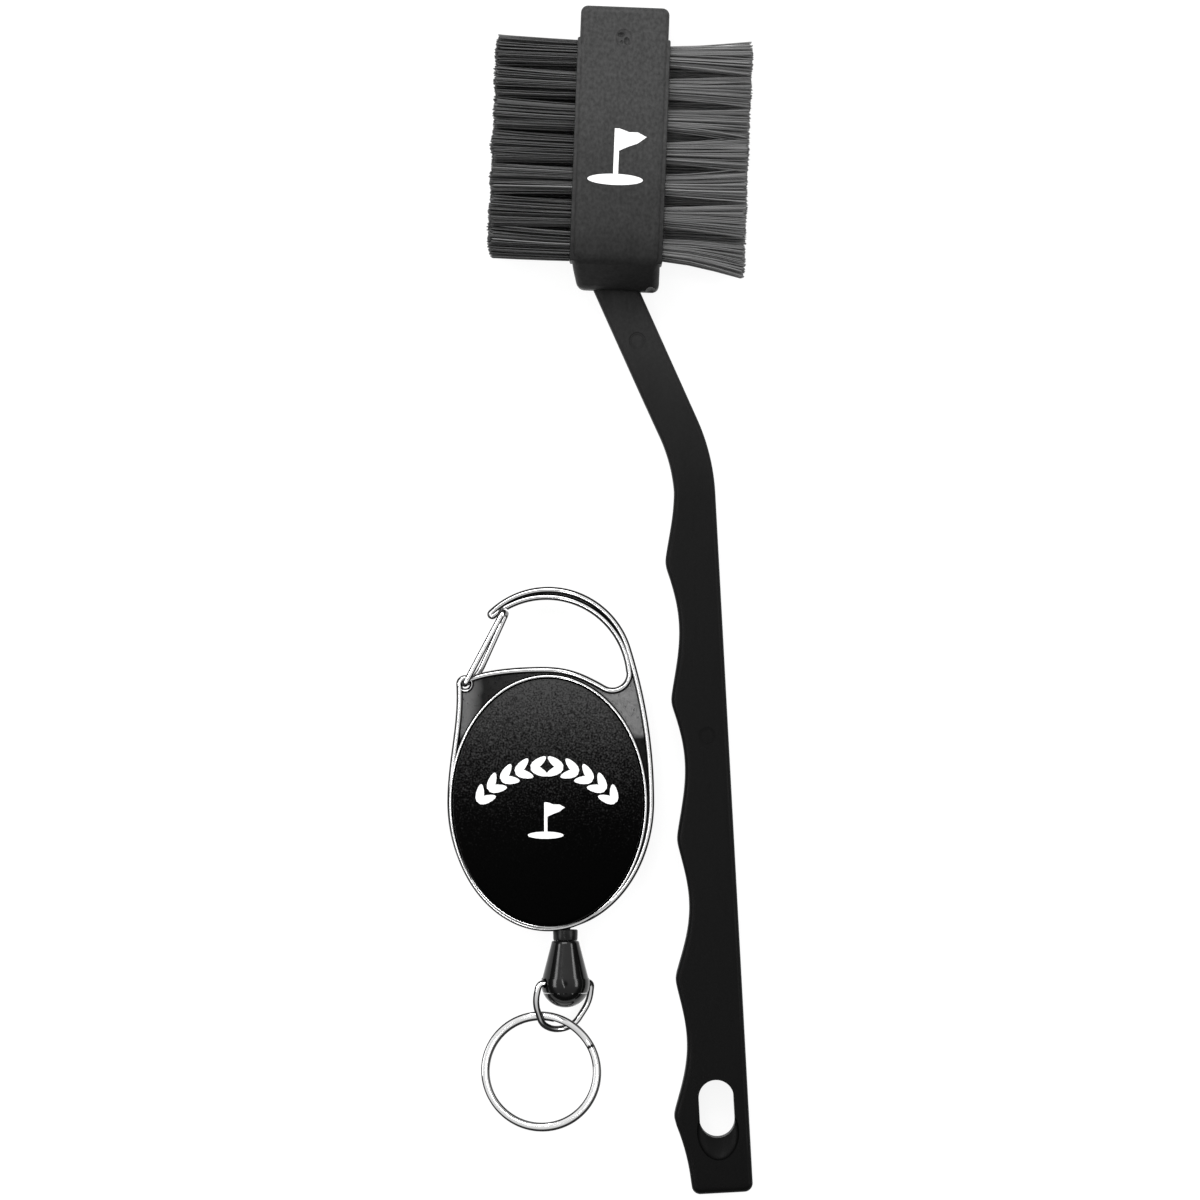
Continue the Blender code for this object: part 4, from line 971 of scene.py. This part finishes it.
# Painted light: the face grows lighter towards its head, as if lit from beyond it; the grain noise
# breaks up the gradient.
painted_light_share = share_along(cover_black, "Y", face_middle - CASE_B, face_middle + CASE_B)
grain = reckoned(cover_black, "MULTIPLY_ADD", noise(cover_black, 3000, 4), 1.3, -0.65)
ramp(cover_black, reckoned(cover_black, "ADD", grain, painted_light_share), COVER_PAINTED_LIGHT, "Base Color")
gloss(cover_black, ((0.3, 0.36), (0.7, 0.52)), 2600, 3)
relief(cover_black, 0.5, 0.06 * MM, 3400, 4)
to_case = Matrix.Translation(REEL + CASE_AT)
turned_over = Matrix.Translation((0, 0, CASE_DEPTH)) @ Matrix.Diagonal((1, 1, -1, 1))
cord_hole_at = Vector((CORD_ASIDE, -22.5 * MM, MID)) - CASE_AT
for name, node, turn in (
    ("front_shell", "front_cover", Matrix.Identity(4)),
    ("rear_shell", "rear_cover", turned_over),
):
    shell = ring_stack(name, shell_rings(), 128)
    if node == "rear_cover":
        joined(shell, cylinder(POST_RADIUS, POST_LENGTH, Matrix.Translation(POST_AT)), "UNION")
    joined(shell, cylinder(OUTLET, LEAST_DRILL, Matrix.Translation(cord_hole_at) @ lengthways))
    shell.data.transform(to_case @ turn)
    smoothed(faced_out(shell), 40)
    dressed(shell, cover_black)
    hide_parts(node)
    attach(shell, "reel_case")

# ---------------- printed marks
# Pad-printed white ink: a sprig of leaves over a flag on its green on the case, and the same flag
# on the brush head. The ink film follows the face under it.
INK = 0.12 * MM  # laid on thick enough to bridge the crown of the face
LEAF_LEAN = math.radians(32)
white_ink = finish("white_ink", (0.82, 0.82, 0.81), 0.5)
ramp(white_ink, noise(white_ink, 2500, 3), ((0.3, 0.74), (0.7, 0.86)), "Base Color")
gloss(white_ink, ((0.3, 0.42), (0.7, 0.6)), 4000, 2)


def flag_outlines(size):
    """A pole, a waving pennant and the green at its foot, in a square of about this size."""
    pole = [(-0.06, -0.3195), (0.03, -0.3195), (0.03, 0.5), (-0.06, 0.5)]
    pennant = [(0.031, 0.5), (0.2, 0.44), (0.36, 0.44), (0.52, 0.36)]
    pennant += [(0.36, 0.24), (0.2, 0.18), (0.031, 0.1)]
    green = []
    for i in range(40):
        turn = 2 * math.pi * i / 40
        green.append((-0.02 + 0.5 * math.cos(turn), -0.42 + 0.1 * math.sin(turn)))
    return [[Vector((x, y, 0)) * size for x, y in part] for part in (pole, pennant, green)]


def leaf_outlines(radius, span, leaves, length, width):
    """Leaves in pairs along an arc, each pointing up the sprig and away from its stem."""
    parts = []
    for i in range(leaves):
        for side in (-1, 1):
            place = (i + 0.5) / leaves * span / 2
            for half in (-1, 1):
                at = math.radians(90 + half * place)
                stem = Vector((math.cos(at), math.sin(at), 0)) * (radius + side * width * 0.55)
                lean = at - half * math.pi / 2 + half * side * LEAF_LEAN
                tip = Vector((math.cos(lean), math.sin(lean), 0))
                broad = Vector((-tip.y, tip.x, 0))
                leaf = []
                for k in range(12):
                    turn = 2 * math.pi * k / 12
                    belly = math.sin(turn) * (1 - 0.25 * math.cos(turn))
                    ahead = tip * length / 2 * math.cos(turn)
                    leaf.append(stem + ahead + broad * width / 2 * belly)
                parts.append(leaf)
    return parts


def printed(name, outlines, place, face_height, body):
    """A thin film of ink over these outlines; each point lies just above the face."""
    films = []
    for i, part in enumerate(outlines):
        films.append(plate(f"{name}_{i}", [[place @ p for p in part]], 0, INK))
    film = gathered(name, films)
    for vertex in film.data.vertices:
        vertex.co.z += face_height(vertex.co)
    dressed(film, white_ink)
    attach(film, body)
    return film


def on_case(point):
    """Height of the case's face at this point."""
    away = point - REEL - CASE_AT
    share = math.hypot(away.x / (CASE_A - FACE_EDGE), away.y / (CASE_B - FACE_EDGE))
    return crown_height(share) - 0.01 * MM


def on_head(point):
    """Height of the head's face, a little less, so that the ink hardly stands out of it."""
    return HEAD_SIZE.z - 0.09 * MM


sprig = leaf_outlines(15.2 * MM, 112, 5, 3.5 * MM, 1.5 * MM)
sprig_at = Matrix.Translation(Vector((-9.8, -45.6, 0)) * MM)
case_flag_at = Matrix.Translation(Vector((-9.9, -40.3, 0)) * MM)
head_flag_at = HEAD @ Matrix.Translation((-0.5 * MM, -1.6 * MM, 0))
printed("case_sprig_print", sprig, sprig_at, on_case, "reel_case")
printed("case_flag_print", flag_outlines(6.6 * MM), case_flag_at, on_case, "reel_case")
printed("head_flag_print", flag_outlines(10.2 * MM), head_flag_at, on_head, "brush")

# ---------------- spool, winding and spring
# Hidden inside the case: an acetal spool on the rear cover's post, its cord and a flat steel
# spring. Their CAD shapes stay, and they get their real finishes here.
acetal = finish("white_acetal", (0.72, 0.72, 0.70), 0.4)
ramp(acetal, noise(acetal, 700, 3), ((0.3, 0.66), (0.7, 0.76)), "Base Color")
spring_steel = finish("spring_steel", (0.36, 0.36, 0.38), 0.28, metallic=1.0)
gloss(spring_steel, ((0.3, 0.2), (0.7, 0.4)), 900, 3, (1, 1, 8))
cord_black = finish("black_cord", (0.008, 0.008, 0.008), 0.8, specular=0.3)
braid = noise(cord_black, 3600, 2, (1, 2.2, 1))
ramp(cord_black, braid, ((0.35, 0.003), (0.65, 0.018)), "Base Color")
bump(cord_black, braid, 0.8, 0.08 * MM)
for node, look in (
    ("spool", acetal),
    ("power_spring", spring_steel),
    ("cord_winding", cord_black),
    ("cord_knot", cord_black),
):
    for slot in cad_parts[node].material_slots:
        slot.material = look

# ---------------- cord and outlet bush
# Braided nylon cord leaves the winding at a tangent and runs straight out through a glossy black
# bush, whose collar shows below the casting.
LINE_X = REEL.x + CORD_ASIDE
CORD_RADIUS = 0.35 * MM
BUSH_BORE = 0.6 * MM
# Lip, neck and collar, in millimetres from the reel's middle.
bush_rings = [(0.6, -17.5), (1.5, -17.5), (1.55, -17.6), (1.55, -18.0), (0.95, -18.0)]
bush_rings += [(0.95, -23.65), (2.1, -23.65), (2.25, -23.75), (2.3, -23.95), (2.25, -25.4)]
bush_rings += [(2.2, -25.58), (2.1, -25.64), (0.75, -25.64), (0.6, -25.5)]
along_y = Matrix.Rotation(-math.pi / 2, 4, "X")
bush_at = Matrix.Translation((LINE_X, REEL.y, MID)) @ along_y
bush = turned("outlet_collar", bush_rings, 48, bush_at)
bore_at = Matrix.Translation((LINE_X, REEL.y - 20 * MM, MID))
joined(bush, cylinder(BUSH_BORE, 30 * MM, bore_at @ along_y))
smoothed(bush, 40)
collar_black = finish("collar_black", (0.004, 0.004, 0.004), 0.32, specular=0.15)
gloss(collar_black, ((0.3, 0.24), (0.7, 0.4)), 1500, 3)
relief(collar_black, 0.2, 0.02 * MM, 2600, 2)
dressed(bush, collar_black)
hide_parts("cord_outlet_bush")
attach(bush, "reel_case")

lead_low, lead_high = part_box("cord_lead")
leave = Vector((lead_high.x - CORD_RADIUS, lead_high.y - 0.3 * MM, MID))
entry = Vector((LINE_X, REEL.y - 16.9 * MM, MID))
lead_end = Vector((LINE_X, lead_low.y, MID))
LEAD_STEPS = 60
lead_path = rounded([leave, entry, entry.lerp(lead_end, 0.1)], 1.5 * MM)
lead_path += [entry.lerp(lead_end, 0.1 + 0.9 * i / LEAD_STEPS) for i in range(1, LEAD_STEPS + 1)]
lead = smoothed(wire("cord", lead_path, CORD_RADIUS, 2), 50)
dressed(lead, cord_black)
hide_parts("cord_lead")
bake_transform(lead)

# ---------------- bell
# Glossy black acetal cone that swivels on the cord's knot, closed by a pressed-in domed cap. The
# bail's ends turn in two holes at the cone's widest line.
BELL_AT = Vector((LINE_X, REEL.y - 25.7 * MM, MID))
BELL_TURN = math.radians(30)
bell_place = Matrix.Translation(BELL_AT) @ Matrix.Rotation(BELL_TURN, 4, "Y") @ along_y
# The bell's own sizes are in millimetres: radius, and place along it with its mouth at 0.
BELL_RADIUS = 4.5
CONE = 7.9
SPLIT = 9.6
CAP_EDGE = 9.75
MOUTH_RADIUS = 2.62
CONE_END = 4.42
PIVOT = 7.8
shell_profile = [(0.9, 0.0), (2.2, 0.0), (2.4, -0.06), (2.55, -0.25), (MOUTH_RADIUS, -0.6)]
for i in range(1, 9):
    share = i / 8
    radius = MOUTH_RADIUS + (CONE_END - MOUTH_RADIUS) * share
    shell_profile.append((radius, -0.6 - (CONE - 1.0) * share))
for i in range(7):
    turn = math.radians(-12 + 34 * i / 6)
    shell_profile.append((BELL_RADIUS * math.cos(turn), -CONE - BELL_RADIUS * math.sin(turn)))
shell_profile += [(4.05, -SPLIT), (3.2, -SPLIT), (3.2, -6.7), (1.6, -2.4), (0.9, -2.4)]
bell = turned("bell_cone", shell_profile, 72, bell_place)
joined(bell, cylinder(0.65 * MM, 20 * MM, bell_place))
pivot_place = bell_place @ Matrix.Translation((0, 0, -PIVOT * MM)) @ crosswise
joined(bell, cylinder(0.9 * MM, 18 * MM, pivot_place))
cap_profile = [(0.3, -8.4), (2.9, -8.4), (2.9, -CAP_EDGE)]
for i in range(14):
    drop = CAP_EDGE + (CONE + BELL_RADIUS - CAP_EDGE) * math.sin(math.pi / 2 * i / 13.4)
    cap_profile.append((math.sqrt(BELL_RADIUS**2 - (drop - CONE) ** 2), -drop))
cap = turned("bell_cap", cap_profile, 72, bell_place)
gloss_black = finish("gloss_black", (0.003, 0.003, 0.003), 0.16, specular=0.3)
gloss(gloss_black, ((0.3, 0.08), (0.75, 0.17)), 800, 3)
relief(gloss_black, 0.2, 0.03 * MM, 420, 2)
for piece, node in ((bell, "bell_shell"), (cap, "bell_end_cap")):
    smoothed(piece, 38)
    dressed(piece, gloss_black)
    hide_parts(node)
    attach(piece, "bell")

# ---------------- bail
# A loop of chromed round wire, bent on a former into a pear shape, its two ends sprung into the
# bell's holes.
HALF_WIDTH = 5.8 * MM
BAIL_LENGTH = 9.15 * MM
BAIL_WIRE = 0.6 * MM
BAIL_DROP = math.radians(18)  # its far end lies lower than the bell
bail_place = (
    Matrix.Translation(BELL_AT + Vector((0, -PIVOT * MM, 0)))
    @ Matrix.Rotation(BELL_TURN, 4, "Y")
    @ Matrix.Rotation(BAIL_DROP, 4, "X")
)
half_bail = [
    Vector((3.4 * MM, 0, 0)),
    Vector((HALF_WIDTH - 0.2 * MM, 0, 0)),
    Vector((HALF_WIDTH, -0.42 * BAIL_LENGTH, 0)),
    Vector((0.62 * HALF_WIDTH, -0.88 * BAIL_LENGTH, 0)),
    Vector((0.22 * HALF_WIDTH, -BAIL_LENGTH, 0)),
]
other_half = [Vector((-p.x, p.y, 0)) for p in reversed(half_bail)]
bail_path = rounded(half_bail + other_half, 2 * MM, 10)
bail = smoothed(wire("bail", bail_path, BAIL_WIRE, 5), 50)
bail.data.transform(bail_place)
mark_slope(bail)
dressed(bail, chrome_wire)
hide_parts("bail_wire")
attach(bail, "bail")

# ---------------- split ring
# Flattened spring wire wound into two coils and chromed; each end steps over the other coil.
RING_AT = Vector((-10.91, -87.12, 2.27)) * MM
RING_TILT = Matrix.Rotation(math.radians(-5), 4, "Y") @ Matrix.Rotation(math.radians(5), 4, "X")
RING_MIDDLE = 10.4 * MM
BAND = 1.5 * MM  # width of the wire, and the height of one coil
COIL = 0.82 * MM
SQUARENESS = 0.75  # of its section: 1 is an ellipse
COIL_PITCH = 0.88 * MM
SLIP = 0.15 * MM  # how far the two coils lie out of line
RAMP = 2 * math.pi / 9
SPLIT_AT = math.radians(52)
RING_STEPS = 220
first = RAMP / 2 + math.radians(4)
last = 4 * math.pi - first
ring_path = []
for i in range(RING_STEPS + 1):
    turn = first + (last - first) * i / RING_STEPS
    share = min(1, max(0, (turn - 2 * math.pi) / RAMP + 0.5))
    level = share * share * (3 - 2 * share) - 0.5
    at = turn + SPLIT_AT
    aside = Vector((0, 2 * SLIP * level, COIL_PITCH * level))
    ring_path.append(aside + Vector((math.cos(at), math.sin(at), 0)) * RING_MIDDLE)
band_section = []
for i in range(28):
    turn = 2 * math.pi * i / 28
    wide = math.copysign(abs(math.cos(turn)) ** SQUARENESS, math.cos(turn))
    high = math.copysign(abs(math.sin(turn)) ** SQUARENESS, math.sin(turn))
    band_section.append(Vector((BAND / 2 * wide, COIL / 2 * high, 0)))
ring = smoothed(swept("key_ring", ring_path, band_section, False), 40)
mark_slope(ring)
ring.data.transform(Matrix.Translation(RING_AT) @ RING_TILT)
# Painted reflection by slope, as on the casting.
RING_PAINTED_REFLECTION = ((0.0, 0.34), (0.42, 0.24), (0.58, 0.03), (0.92, 0.02), (0.975, 0.92))
chrome_ring = chromed("chrome_ring", 0.07, RING_PAINTED_REFLECTION)
gloss(chrome_ring, ((0.35, 0.04), (0.75, 0.12)), 900, 3)
dressed(ring, chrome_ring)
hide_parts("split_ring")
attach(ring, "ring")

# ---------------- size and end
low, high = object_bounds()
